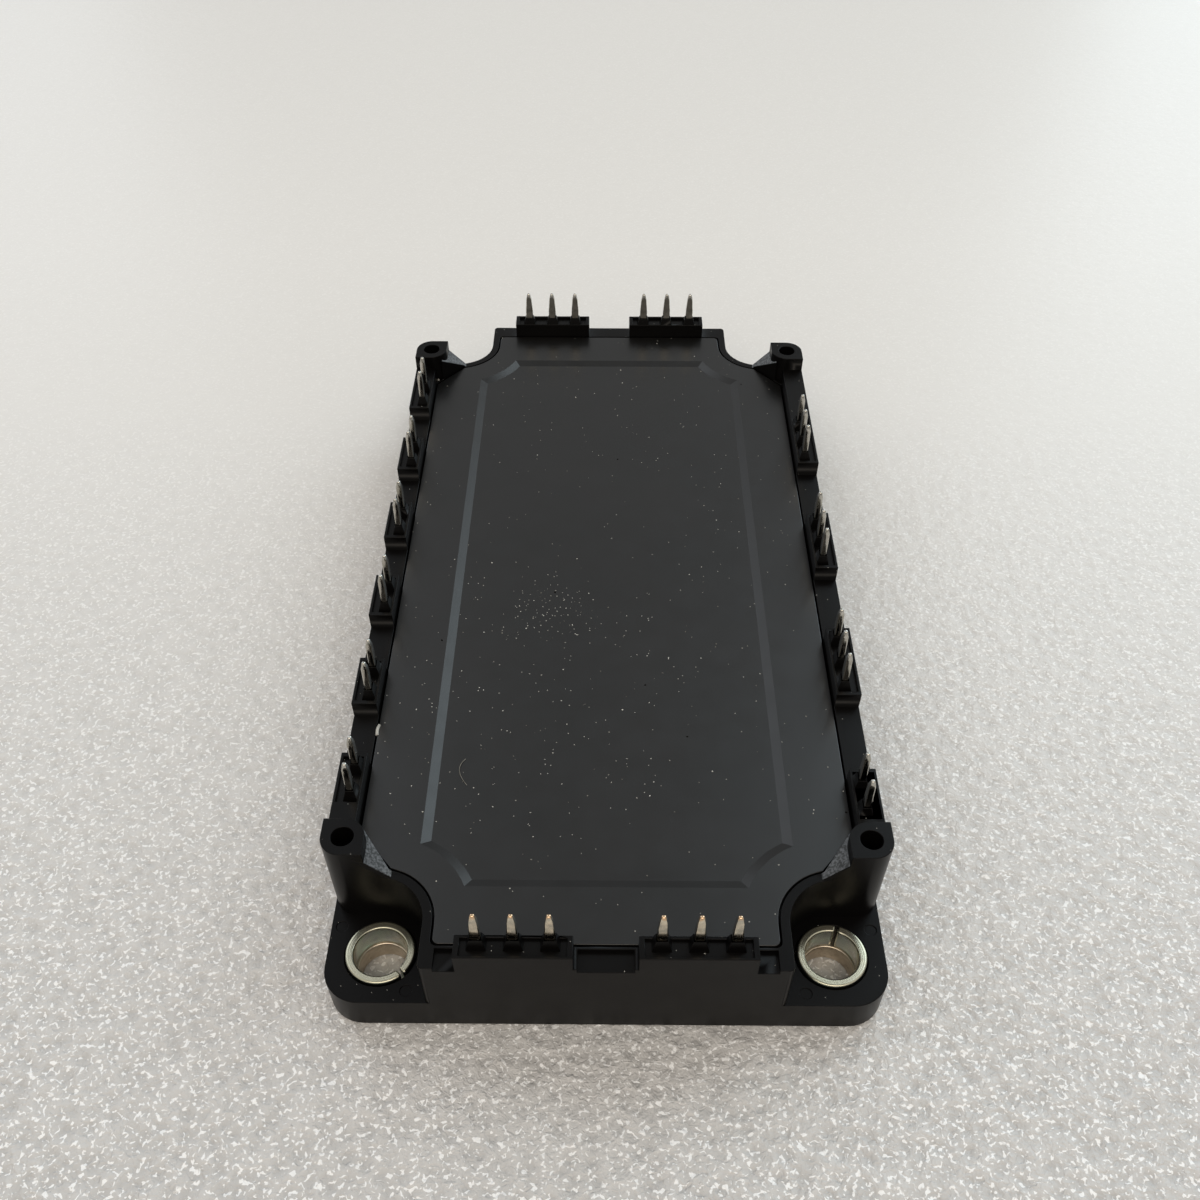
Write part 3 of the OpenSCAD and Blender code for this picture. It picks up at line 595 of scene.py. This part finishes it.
@dataclass(frozen=True)
class FoamSheet(Finish):
    """Thin packing foam: pale, waxy, pebbled by its closed cells, and pressed smoother towards its far end,
    with painted light, shade and glints on it.

    Attributes:
        near: Its colour at the near end, where it isn't pebbled.
        shaded_hollow: Colour of the film in the cells' hollows, darker as painted shade.
        lit_crown: Colour of the film on their crowns, lighter as painted light.
        crease: Colour of the creases in the film, white as painted glints.
        cell: Mean width of a cell.
        fine_w: Width of the finer dents on it.
        glint_w: Mean width of a painted glint on a crease.
        rough_y: Up to here along Y the sheet is fully pebbled.
        smooth_y: From here on it is almost smooth.
        painted_light_y: Along Y, where it begins to turn from the near to the far colour, and where it ends.
    """

    near: str = "#dcd9d5"
    shaded_hollow: str = "#c2c0be"
    lit_crown: str = "#d3d1cf"
    crease: str = "#ffffff"
    cell: float = 1.8
    fine_w: float = 0.6
    glint_w: float = 0.5
    rough_y: float = -70.0
    smooth_y: float = 55.0
    # painted_light_y: Along Y, where the painted light begins to turn the near colour into the brighter far
    # colour, and where it ends.
    painted_light_y: tuple[float, float] = (-50.0, 110.0)

    def detail(self, tree: bpy.types.NodeTree, where: bpy.types.Node) -> dict[str, Any]:
        """Adds the cells' pebbling, painted shade in their hollows, painted glints on their creases, and
        painted light that brightens the far end.

        Args:
            tree: The material's node tree.
            where: Object coordinates in millimetres.

        Returns:
            What goes into the shader's sockets, by their names.
        """
        along = add(tree, "ShaderNodeSeparateXYZ", {0: where}).outputs["Y"]
        pressing = {"From Min": self.rough_y, "From Max": self.smooth_y, "To Min": 1.0, "To Max": 0.1}
        fade = add(tree, "ShaderNodeMapRange", {"Value": along} | pressing)
        # Painted light: the sheet turns from the darker near colour to the brighter far colour along Y.
        begin, end = self.painted_light_y
        far = add(tree, "ShaderNodeMapRange", {"Value": along, "From Min": begin, "From Max": end})
        plain = add(
            tree, "ShaderNodeMix", {SHARE: far, FIRST: self.near, SECOND: self.colour}, data_type="RGBA"
        )
        warp = add(tree, "ShaderNodeTexNoise", {"Vector": where, "Scale": 0.5, "Detail": 2.0})
        bent = add(tree, "ShaderNodeVectorMath", {0: where, 1: warp.outputs["Color"]}, operation="ADD")
        grid = {"Vector": bent, "Scale": 1 / self.cell, "Smoothness": 0.5}
        cells = add(tree, "ShaderNodeTexVoronoi", grid, feature="SMOOTH_F1").outputs["Distance"]
        fine = add(
            tree,
            "ShaderNodeTexNoise",
            {"Vector": where, "Scale": 1 / self.fine_w, "Detail": 1.5, "Distortion": 0.8},
        )
        low = add(tree, "ShaderNodeMath", {0: fine, 1: 0.6}, operation="MULTIPLY")
        height = add(tree, "ShaderNodeMath", {0: cells, 1: low}, operation="ADD")
        # Painted shade: the film is darker in the cells' hollows than on their crowns.
        lit_crown = add(tree, "ShaderNodeMapRange", {"Value": height, "From Min": 0.4, "From Max": 1.0})
        film = add(
            tree, "ShaderNodeMix", {SHARE: lit_crown, FIRST: self.shaded_hollow, SECOND: self.lit_crown}, data_type="RGBA"
        )
        # Painted highlights: white glints along the creases in the film.
        glint_noise = add(
            tree,
            "ShaderNodeTexNoise",
            {"Vector": bent, "Scale": 1 / self.glint_w, "Detail": 1.0, "Distortion": 0.5},
        )
        crease = add(tree, "ShaderNodeMapRange", {"Value": glint_noise, "From Min": 0.578, "From Max": 0.645})
        glinted = add(
            tree, "ShaderNodeMix", {SHARE: crease, FIRST: film, SECOND: self.crease}, data_type="RGBA"
        )
        colour = add(tree, "ShaderNodeMix", {SHARE: fade, FIRST: plain, SECOND: glinted}, data_type="RGBA")
        relief = add(tree, "ShaderNodeMath", {0: height, 1: fade}, operation="MULTIPLY")
        bump = add(tree, "ShaderNodeBump", {"Strength": 0.8, "Distance": 0.5 * MM, "Height": relief})
        return {"Base Color": colour, "Normal": bump}


# ---- meshes ----


def rounded_copy(
    node: str, name: str, width: float, angle: float = 40.0, crease: float = 38.0
) -> bpy.types.Object:
    """Makes a copy of a CAD node whose sharp edges are slightly rounded, as moulding or stamping leaves them.

    Args:
        node: The CAD node's name.
        name: The new piece's name.
        width: Width of the rounding.
        angle: Outer edges sharper than this, in degrees, are rounded.
        crease: Other edges sharper than this, in degrees, stay crisp.

    Returns:
        The new piece, which stands for the node.
    """
    mesh = bmesh.new()
    mesh.from_mesh(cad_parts[node].data)
    bmesh.ops.remove_doubles(mesh, verts=mesh.verts, dist=0.001 * MM)
    bmesh.ops.dissolve_limit(mesh, angle_limit=math.radians(0.5), verts=mesh.verts, edges=mesh.edges)
    sharp = math.radians(angle)
    outer = [edge for edge in mesh.edges if edge.is_manifold and edge.calc_face_angle_signed() > sharp]
    rounded = set(outer)
    for edge in mesh.edges:
        edge.smooth = edge in rounded or edge.calc_face_angle(math.pi) < math.radians(crease)
    bmesh.ops.bevel(
        mesh,
        geom=outer,
        offset=width * MM,
        offset_type="OFFSET",
        segments=2,
        profile=0.5,
        affect="EDGES",
        clamp_overlap=False,
        loop_slide=True,
    )
    for face in mesh.faces:
        face.smooth = True
    data = bpy.data.meshes.new(name)
    mesh.to_mesh(data)
    mesh.free()
    piece = bpy.data.objects.new(name, data)
    bpy.context.scene.collection.objects.link(piece)
    weighted = piece.modifiers.new("shading", "WEIGHTED_NORMAL")
    weighted.keep_sharp = True
    weighted.weight = 90
    settle(piece)
    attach(piece, ROOT)
    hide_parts(node)
    return piece


def settle(piece: bpy.types.Object) -> None:
    """Makes the result of a piece's modifiers its mesh, and removes them.

    Args:
        piece: The piece.
    """
    graph = bpy.context.evaluated_depsgraph_get()
    data = bpy.data.meshes.new_from_object(piece.evaluated_get(graph))
    piece.modifiers.clear()
    piece.data = data


def dress(piece: bpy.types.Object, finish: Finish) -> None:
    """Gives a piece one finish, and reports it.

    Args:
        piece: The piece or CAD node.
        finish: Its finish.
    """
    piece.data.materials.clear()
    piece.data.materials.append(finish.material())
    log.info("%s: %s", piece.name, finish.name)


def grow(name: str, mesh: bpy.types.Mesh, tree: bpy.types.NodeTree, values: dict[str, Any]) -> None:
    """Runs a geometry node tree on a mesh, and makes the result a plain piece that rides on the case.

    Args:
        name: The new piece's name.
        mesh: What the tree starts from.
        tree: The tree.
        values: The tree's inputs by their names.
    """
    piece = bpy.data.objects.new(name, mesh)
    bpy.context.scene.collection.objects.link(piece)
    modifier = piece.modifiers.new("grown", "NODES")
    modifier.node_group = tree
    for item in tree.interface.items_tree:
        if item.item_type == "SOCKET" and item.in_out == "INPUT" and item.name in values:
            modifier[item.identifier] = values[item.name]
    settle(piece)
    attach(piece, ROOT)
    log.info("%s: %d faces", piece.name, len(piece.data.polygons))


def new_tree(name: str, inputs: dict[str, tuple[str, ...]], output: str) -> bpy.types.NodeTree:
    """Starts a geometry node tree.

    Args:
        name: The tree's name.
        inputs: Type of value, such as "Float", to the names of the inputs that take it.
        output: Name of the output.

    Returns:
        The tree, without nodes.
    """
    tree = bpy.data.node_groups.new(name, "GeometryNodeTree")
    for kind, names in inputs.items():
        for socket in names:
            tree.interface.new_socket(socket, in_out="INPUT", socket_type=f"NodeSocket{kind}")
    tree.interface.new_socket(output, in_out="OUTPUT", socket_type="NodeSocketGeometry")
    return tree


# ---- the module ----


@dataclass
class Case:
    """The moulded case frame, its lid and the metal base plate.

    Attributes:
        frame_round: Rounding of the case frame's edges.
        lid_round: Rounding of the lid's edges.
        lid_crease: Inner edges of the lid sharper than this, in degrees, stay crisp.
        plate_round: Rounding of the base plate's edges.
        frame_finish: The case frame's finish.
        lid_finish: The lid's finish, a finer and glossier moulding.
        plate_finish: The base plate's finish.
    """

    frame_round: float = 0.08
    lid_round: float = 0.1
    lid_crease: float = 15.0
    plate_round: float = 0.2
    # The frame's finish paints a highlight on the webs beside the posts, with pale scuffs on it.
    frame_finish: Finish = MouldedPlastic(
        "case_plastic", "#060505", 0.33, bloom="#0c0b0a", gloss=0.13, sheen_and_scuff=0.9
    )
    lid_finish: Finish = MouldedPlastic(
        "lid_plastic", "#0a0a09", 0.31, bloom="#100f0e", gloss=0.57, grain=0.3
    )
    plate_finish: Finish = GroundMetal("nickel_plate", "#d6cab8", 0.32, 1.0, shade="#b5a48e")

    def build(self) -> None:
        """Builds and dresses the three pieces."""
        dress(rounded_copy("housing_frame", "case_frame", self.frame_round), self.frame_finish)
        dress(rounded_copy("lid", "case_lid", self.lid_round, crease=self.lid_crease), self.lid_finish)
        dress(rounded_copy("base_plate", "metal_base", self.plate_round), self.plate_finish)


@dataclass
class Bushes:
    """The four rolled bushes in the screw lugs.

    Attributes:
        edge_round: Rounding of their edges.
    """

    edge_round: float = 0.24

    def build(self) -> None:
        """Builds and dresses one bush in each corner."""
        low, high = (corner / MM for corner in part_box("sleeve_back_right"))
        centre = ((low.x + high.x) / 2, (low.y + high.y) / 2, 0.0)
        finish = ZincBush("zinc_bush", "#cad2c6", 0.2, 1.0, centre=centre, top_z=high.z)
        for corner in ("front_left", "front_right", "back_left", "back_right"):
            piece = rounded_copy(f"sleeve_{corner}", f"bush_{corner}", self.edge_round)
            dress(piece, finish)


@dataclass
class Pins:
    """The solder pins, stamped from strip and tinned; those of the front end are cut bare at the tip, and
    their tin is painted brighter and warmer as a reflection, the others' darker as shade.

    Attributes:
        edge_round: Rounding of their edges.
        bare_l: Length of a tip that is bare.
    """

    edge_round: float = 0.15
    bare_l: float = 0.4

    def build(self) -> None:
        """Rounds and dresses every pin of the frame."""
        bare_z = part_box("gate_pin_1")[1].z / MM - self.bare_l
        # Painted reflection and shade: one tin, painted brighter and warmer on the front pins and darker on
        # the rest.
        lit_cut_pin = TinnedPin("lit_sheared_pin", "#e0d4be", 0.11, 1.0, bare_share=0.8, bare_z=bare_z)
        shaded_pin = TinnedPin("shaded_pin", "#c9c6bf", 0.11, 1.0)
        for node in sorted(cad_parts):
            if "_pin_" in node:
                finish = lit_cut_pin if "_front_" in node else shaded_pin
                dress(rounded_copy(node, f"tinned_{node}", self.edge_round), finish)


class Layer(Enum):
    """The layers of the power circuit that share a finish, by the start of their nodes' names."""

    CERAMIC = "ceramic_"
    TRACKS = "copper_tracks_"
    BACKING = "copper_backing_"
    IGBT = "igbt_chips_"
    DIODE = "diode_chips_"
    WIRES = "bond_wires"
    SENSOR = "thermistor"
    GEL = "silicone_gel"


@dataclass
class PowerCircuit:
    """The substrates, chips, bond wires, sensor and gel inside the case."""

    def finishes(self) -> dict[Layer, Finish]:
        """Lists the finish of each layer.

        Returns:
            Layer to finish.
        """
        low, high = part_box("thermistor")
        return {
            Layer.CERAMIC: SinteredCeramic("alumina", "#e9e6de", 0.75),
            Layer.TRACKS: GroundMetal("copper_foil", "#d08a5e", 0.38, 1.0, shade="#a8623c", line=0.25),
            Layer.BACKING: GroundMetal("copper_back", "#c98358", 0.42, 1.0, shade="#9c5a38", line=0.25),
            Layer.IGBT: ChipFace("igbt_metal", "#c3c8cc", 0.32, 1.0),
            Layer.DIODE: ChipFace("diode_metal", "#cfd0cd", 0.3, 1.0, trench="#9aa0a3", pitch=1.4),
            Layer.WIRES: GroundMetal("drawn_aluminium", "#dcdddf", 0.25, 1.0, shade="#a9abad", line=0.15),
            Layer.SENSOR: ChipResistor("sensor_ceramic", "#6a4a3a", 0.5, middle_y=(low.y + high.y) / 2 / MM),
            Layer.GEL: SiliconeGel("clear_gel", "#eef3f2", 0.06),
        }

    def build(self) -> None:
        """Dresses every inner node."""
        for layer, finish in self.finishes().items():
            for node, piece in sorted(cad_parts.items()):
                if node.startswith(layer.value) and "_pin_" not in node:
                    dress(piece, finish)


@dataclass
class Speckles:
    """Dust specks that settled on upward faces, scattered by a node tree.

    Attributes:
        surface: The piece that the specks lie on.
        name: The new piece's name.
        density: Specks per square centimetre.
        size: Diameter of the largest speck.
        centre: Where the dust is thickest.
        reach: Radius of the thick patch.
        floor_share: Density far from the patch, as a share of the full one.
        seed: Seed of the scatter.
        finish: The specks' finish.
    """

    surface: str
    name: str
    density: float
    size: float
    centre: Point
    reach: float
    floor_share: float
    seed: int
    finish: Finish = Lint("lint", "#cfcdc6", 0.95)

    @staticmethod
    def tree() -> bpy.types.NodeTree:
        """Builds the scatter tree the first time it is asked for.

        Returns:
            The tree.
        """
        found = bpy.data.node_groups.get("dust_scatter")
        if found:
            return found
        inputs = {
            "Geometry": ("Surface",),
            "Float": ("Density", "Size", "Reach", "Floor Share"),
            "Vector": ("Centre",),
            "Int": ("Seed",),
            "Material": ("Material",),
        }
        tree = new_tree("dust_scatter", inputs, "Specks")
        given = add(tree, "NodeGroupInput").outputs
        seed = {"Seed": given["Seed"]}
        # Points lie evenly over the upward faces, and are then thinned by their distance from the centre.
        normal = add(tree, "GeometryNodeInputNormal")
        up = add(tree, "ShaderNodeSeparateXYZ", {0: normal}).outputs["Z"]
        flat = add(tree, "FunctionNodeCompare", {0: up, 1: 0.95}, operation="GREATER_THAN")
        area = {"Mesh": given["Surface"], "Selection": flat, "Density": given["Density"]}
        points = add(tree, "GeometryNodeDistributePointsOnFaces", area | seed).outputs["Points"]
        place = add(tree, "GeometryNodeInputPosition")
        away = add(
            tree, "ShaderNodeVectorMath", {0: place, 1: given["Centre"]}, operation="DISTANCE"
        ).outputs["Value"]
        fall = {"From Min": 0.0, "From Max": given["Reach"], "To Min": 1.0, "To Max": given["Floor Share"]}
        share = add(tree, "ShaderNodeMapRange", {"Value": away} | fall, interpolation_type="SMOOTHSTEP")
        lot = add(tree, "FunctionNodeRandomValue", {2: 0.0, 3: 1.0} | seed).outputs[1]
        spare = add(tree, "FunctionNodeCompare", {0: lot, 1: share}, operation="GREATER_THAN")
        thinned = add(tree, "GeometryNodeDeleteGeometry", {"Geometry": points, "Selection": spare})
        # Each speck is a squashed pebble of its own size and turn.
        pebble = add(tree, "GeometryNodeMeshIcoSphere", {"Radius": 0.5, "Subdivisions": 1}).outputs["Mesh"]
        sizes = {0: (0.25, 0.25, 0.12), 1: (1.0, 0.7, 0.3)}
        pick = add(tree, "FunctionNodeRandomValue", sizes | seed, data_type="FLOAT_VECTOR").outputs[0]
        scale = add(tree, "ShaderNodeVectorMath", {0: pick, "Scale": given["Size"]}, operation="SCALE")
        turns = {0: (0.0, 0.0, 0.0), 1: (0.3, 0.3, math.tau)}
        turn = add(tree, "FunctionNodeRandomValue", turns, data_type="FLOAT_VECTOR").outputs[0]
        spread = {"Points": thinned, "Instance": pebble, "Rotation": turn, "Scale": scale}
        dots = add(tree, "GeometryNodeInstanceOnPoints", spread)
        real = add(tree, "GeometryNodeRealizeInstances", {0: dots})
        made = add(tree, "GeometryNodeSetMaterial", {"Geometry": real, "Material": given["Material"]})
        add(tree, "NodeGroupOutput", {0: made})
        return tree

    def build(self) -> None:
        """Scatters the specks over the surface."""
        values = {
            "Density": self.density * 1e4,
            "Size": self.size * MM,
            "Reach": self.reach * MM,
            "Floor Share": self.floor_share,
            "Centre": [c * MM for c in self.centre],
            "Seed": self.seed,
            "Material": self.finish.material(),
        }
        grow(self.name, bpy.data.objects[self.surface].data.copy(), self.tree(), values)


@dataclass
class Fibre:
    """One stray fibre, swept along a bent line by a node tree.

    Attributes:
        name: The new piece's name.
        points: Start, middle and end of the bend.
        thickness: Diameter of the fibre.
        finish: The fibre's finish.
    """

    name: str
    points: tuple[Point, Point, Point]
    thickness: float
    finish: Finish = Lint("fibre_lint", "#a8a49a", 0.9)

    @staticmethod
    def tree() -> bpy.types.NodeTree:
        """Builds the sweep tree the first time it is asked for.

        Returns:
            The tree.
        """
        found = bpy.data.node_groups.get("fibre_sweep")
        if found:
            return found
        inputs = {
            "Geometry": ("Base",),
            "Vector": ("Start", "Middle", "End"),
            "Float": ("Radius",),
            "Material": ("Material",),
        }
        tree = new_tree("fibre_sweep", inputs, "Strand")
        given = add(tree, "NodeGroupInput").outputs
        bend = {"Resolution": 20, "Start": given["Start"], "Middle": given["Middle"], "End": given["End"]}
        line = add(tree, "GeometryNodeCurveQuadraticBezier", bend)
        ring = add(tree, "GeometryNodeCurvePrimitiveCircle", {"Resolution": 6, "Radius": given["Radius"]})
        sweep = {"Curve": line, "Profile Curve": ring.outputs["Curve"], "Fill Caps": True}
        strand = add(tree, "GeometryNodeCurveToMesh", sweep)
        real = add(tree, "GeometryNodeRealizeInstances", {0: strand})
        made = add(tree, "GeometryNodeSetMaterial", {"Geometry": real, "Material": given["Material"]})
        add(tree, "NodeGroupOutput", {0: made})
        return tree

    def build(self) -> None:
        """Sweeps the fibre along its bend."""
        start, middle, end = ([c * MM for c in point] for point in self.points)
        values = {
            "Start": start,
            "Middle": middle,
            "End": end,
            "Radius": self.thickness / 2 * MM,
            "Material": self.finish.material(),
        }
        grow(self.name, bpy.data.meshes.new(self.name), self.tree(), values)


@dataclass
class Dirt:
    """The dust, grit and lint that lie on the module.

    Attributes:
        lid_z: Height of the middle of each dust patch, about that of the lid's sunken panel.
        tuft: Finish of the two lint tufts between the lid and the case.
        grit: Finish of the few dark grains.
    """

    lid_z: float = 12.5
    tuft: Finish = Lint("lint_tuft", "#b9b7b0", 0.9, shade="#8c8a84")
    grit: Finish = Lint("dark_grit", "#0a0908", 0.7, shade="#14110e")

    def build(self) -> None:
        """Scatters the specks and lays the fibres."""
        top = self.lid_z
        for specks in (
            Speckles("case_lid", "lid_dust", 26.0, 0.26, (-9.0, -20.0, top), 34.0, 0.25, 7),
            Speckles("case_lid", "lid_dust_patch", 150.0, 0.25, (-6.9, -8.0, top), 8.0, 0.0, 21),
            Speckles("case_lid", "lid_grit", 0.12, 0.6, (0.0, -10.0, top), 60.0, 1.0, 5, self.grit),
            Speckles("case_frame", "case_dust", 9.0, 0.2, (0.0, 0.0, 8.0), 60.0, 1.0, 11),
        ):
            specks.build()
        stray = ((-16.75, -33.1, 12.46), (-18.15, -34.7, 12.6), (-16.3, -37.0, 12.46))
        near = ((-27.6, -28.2, 12.75), (-27.8, -29.0, 13.0), (-27.65, -29.8, 12.75))
        far = ((-27.6, 45.0, 12.75), (-27.75, 45.6, 12.95), (-27.6, 46.1, 12.75))
        Fibre("lid_fibre", stray, 0.06).build()
        Fibre("near_tuft", near, 0.4, self.tuft).build()
        Fibre("far_tuft", far, 0.35, self.tuft).build()


# ---- the studio ----


@dataclass(frozen=True)
class Window:
    """An upright area lamp that faces the module, as a window or a bright wall does.

    Attributes:
        name: The lamp's name.
        bearing: Its direction from the module, in degrees from +Y towards +X.
        distance: Its distance along the floor, in metres.
        sill: Height of its lower edge, in metres.
        width: Its width, in metres.
        height: Its height, in metres.
        radiance: How bright its face is; a face of 1 looks white.
        colour: Its colour, sRGB.
    """

    name: str
    bearing: float
    distance: float
    sill: float
    width: float
    height: float
    radiance: float
    colour: str

    def build(self) -> None:
        """Adds the lamp to the scene."""
        lamp = bpy.data.lights.new(self.name, "AREA")
        lamp.shape = "RECTANGLE"
        lamp.size = self.width
        lamp.size_y = self.height
        # A lamp's face shines with its power over pi times its area.
        lamp.energy = self.radiance * math.pi * self.width * self.height
        lamp.color = srgb(self.colour)[:3]
        holder = bpy.data.objects.new(self.name, lamp)
        bearing = math.radians(self.bearing)
        way = Vector((math.sin(bearing), math.cos(bearing), 0.0))
        holder.location = way * self.distance + Vector((0.0, 0.0, self.sill + self.height / 2))
        holder.rotation_euler = way.to_track_quat("Z", "Y").to_euler()
        bpy.context.scene.collection.objects.link(holder)


@dataclass
class Studio:
    """The floor, the lamps, the world and the camera.

    Attributes:
        floor_side: Side of the floor, in metres.
        floor_finish: The floor's finish.
        camera_at: The camera's place.
        pitch: How far below level the camera looks, in degrees.
        yaw: How far it is turned to the left, in degrees.
        lens: Its focal length for a 36 mm sensor.
        shift_y: Upward shift of its frame.
        world_strength: How bright the room is.
        heights: How far up the room, from 0 at level to 1 overhead, and its colour there.
        front_tint: Tint of the room's near side.
        back_tint: Tint of its far side.
        lamps: The windows round the module.
    """

    floor_side: float = 6.0
    floor_finish: Finish = FoamSheet("foam_sheet", "#e8e5e1", 0.38)
    camera_at: Point = (-0.15, -119.86, 120.98)
    pitch: float = 49.12
    yaw: float = 0.45
    lens: float = 35.15
    shift_y: float = 0.095
    world_strength: float = 1.25
    heights: tuple[tuple[float, str], ...] = (
        (0.15, "#8f9091"),
        (0.62, "#d4d4d2"),
        (0.9, "#d4d4d2"),
        (0.97, "#9a9a99"),
    )
    front_tint: str = "#fffaf3"
    back_tint: str = "#d2d2d3"
    lamps: tuple[Window, ...] = (
        Window("window_right", 43, 1.0, 0.1, 0.74, 1.65, 2.25, "#dbedf6"),
        Window("window_left", -43, 1.0, 0.1, 0.74, 1.65, 1.0, "#e6f0fa"),
        Window("room_front", 180, 1.0, 0.7, 1.3, 1.4, 2.2, "#fff1e0"),
    )

    def build(self) -> None:
        """Sets up everything round the module."""
        self.build_floor()
        for lamp in self.lamps:
            lamp.build()
        self.build_world()
        self.build_camera()

    def build_floor(self) -> None:
        """Lays the floor under the module."""
        half = self.floor_side / 2
        data = bpy.data.meshes.new("floor")
        edge = [(-half, -half, 0), (half, -half, 0), (half, half, 0), (-half, half, 0)]
        data.from_pydata(edge, [], [(0, 1, 2, 3)])
        floor = bpy.data.objects.new("floor", data)
        bpy.context.scene.collection.objects.link(floor)
        data.materials.append(self.floor_finish.material())

    def build_world(self) -> None:
        """Fills the room with soft light, brightest halfway up, with a darker ceiling right overhead."""
        world = bpy.data.worlds.new("soft_room")
        bpy.context.scene.world = world
        world.use_nodes = True
        tree = world.node_tree
        tree.nodes.clear()
        way = add(tree, "ShaderNodeTexCoord").outputs["Generated"]
        parts = add(tree, "ShaderNodeSeparateXYZ", {0: way}).outputs
        ramp = add(tree, "ShaderNodeValToRGB", {"Fac": parts["Z"]})
        band = ramp.color_ramp
        while len(band.elements) < len(self.heights):
            band.elements.new(0.5)
        for element, (place, code) in zip(band.elements, self.heights):
            element.position = place
            element.color = srgb(code)
        side = add(tree, "ShaderNodeMapRange", {"Value": parts["Y"], "From Min": -0.6, "From Max": 0.4})
        tints = {SHARE: side, FIRST: self.front_tint, SECOND: self.back_tint}
        tint = add(tree, "ShaderNodeMix", tints, data_type="RGBA")
        sky = add(tree, "ShaderNodeVectorMath", {0: ramp, 1: tint}, operation="MULTIPLY")
        light = add(tree, "ShaderNodeBackground", {"Color": sky, "Strength": self.world_strength})
        add(tree, "ShaderNodeOutputWorld", {"Surface": light})

    def build_camera(self) -> None:
        """Places the camera before and above the module's near end."""
        data = bpy.data.cameras.new("camera")
        data.sensor_width = 36.0
        data.lens = self.lens
        data.shift_y = self.shift_y
        data.clip_start = 0.005
        camera = bpy.data.objects.new("camera", data)
        camera.location = [c * MM for c in self.camera_at]
        camera.rotation_euler = Euler((math.radians(90 - self.pitch), 0.0, math.radians(self.yaw)))
        bpy.context.scene.collection.objects.link(camera)
        bpy.context.scene.camera = camera
        bpy.context.scene.view_settings.view_transform = "Standard"


def main() -> None:
    """Builds the module's looks, then the studio."""
    logging.basicConfig(level=logging.INFO, format="%(message)s")
    for assembly in (Case(), Bushes(), Pins(), PowerCircuit(), Dirt(), Studio()):
        assembly.build()


if __name__ == "__main__":
    main()
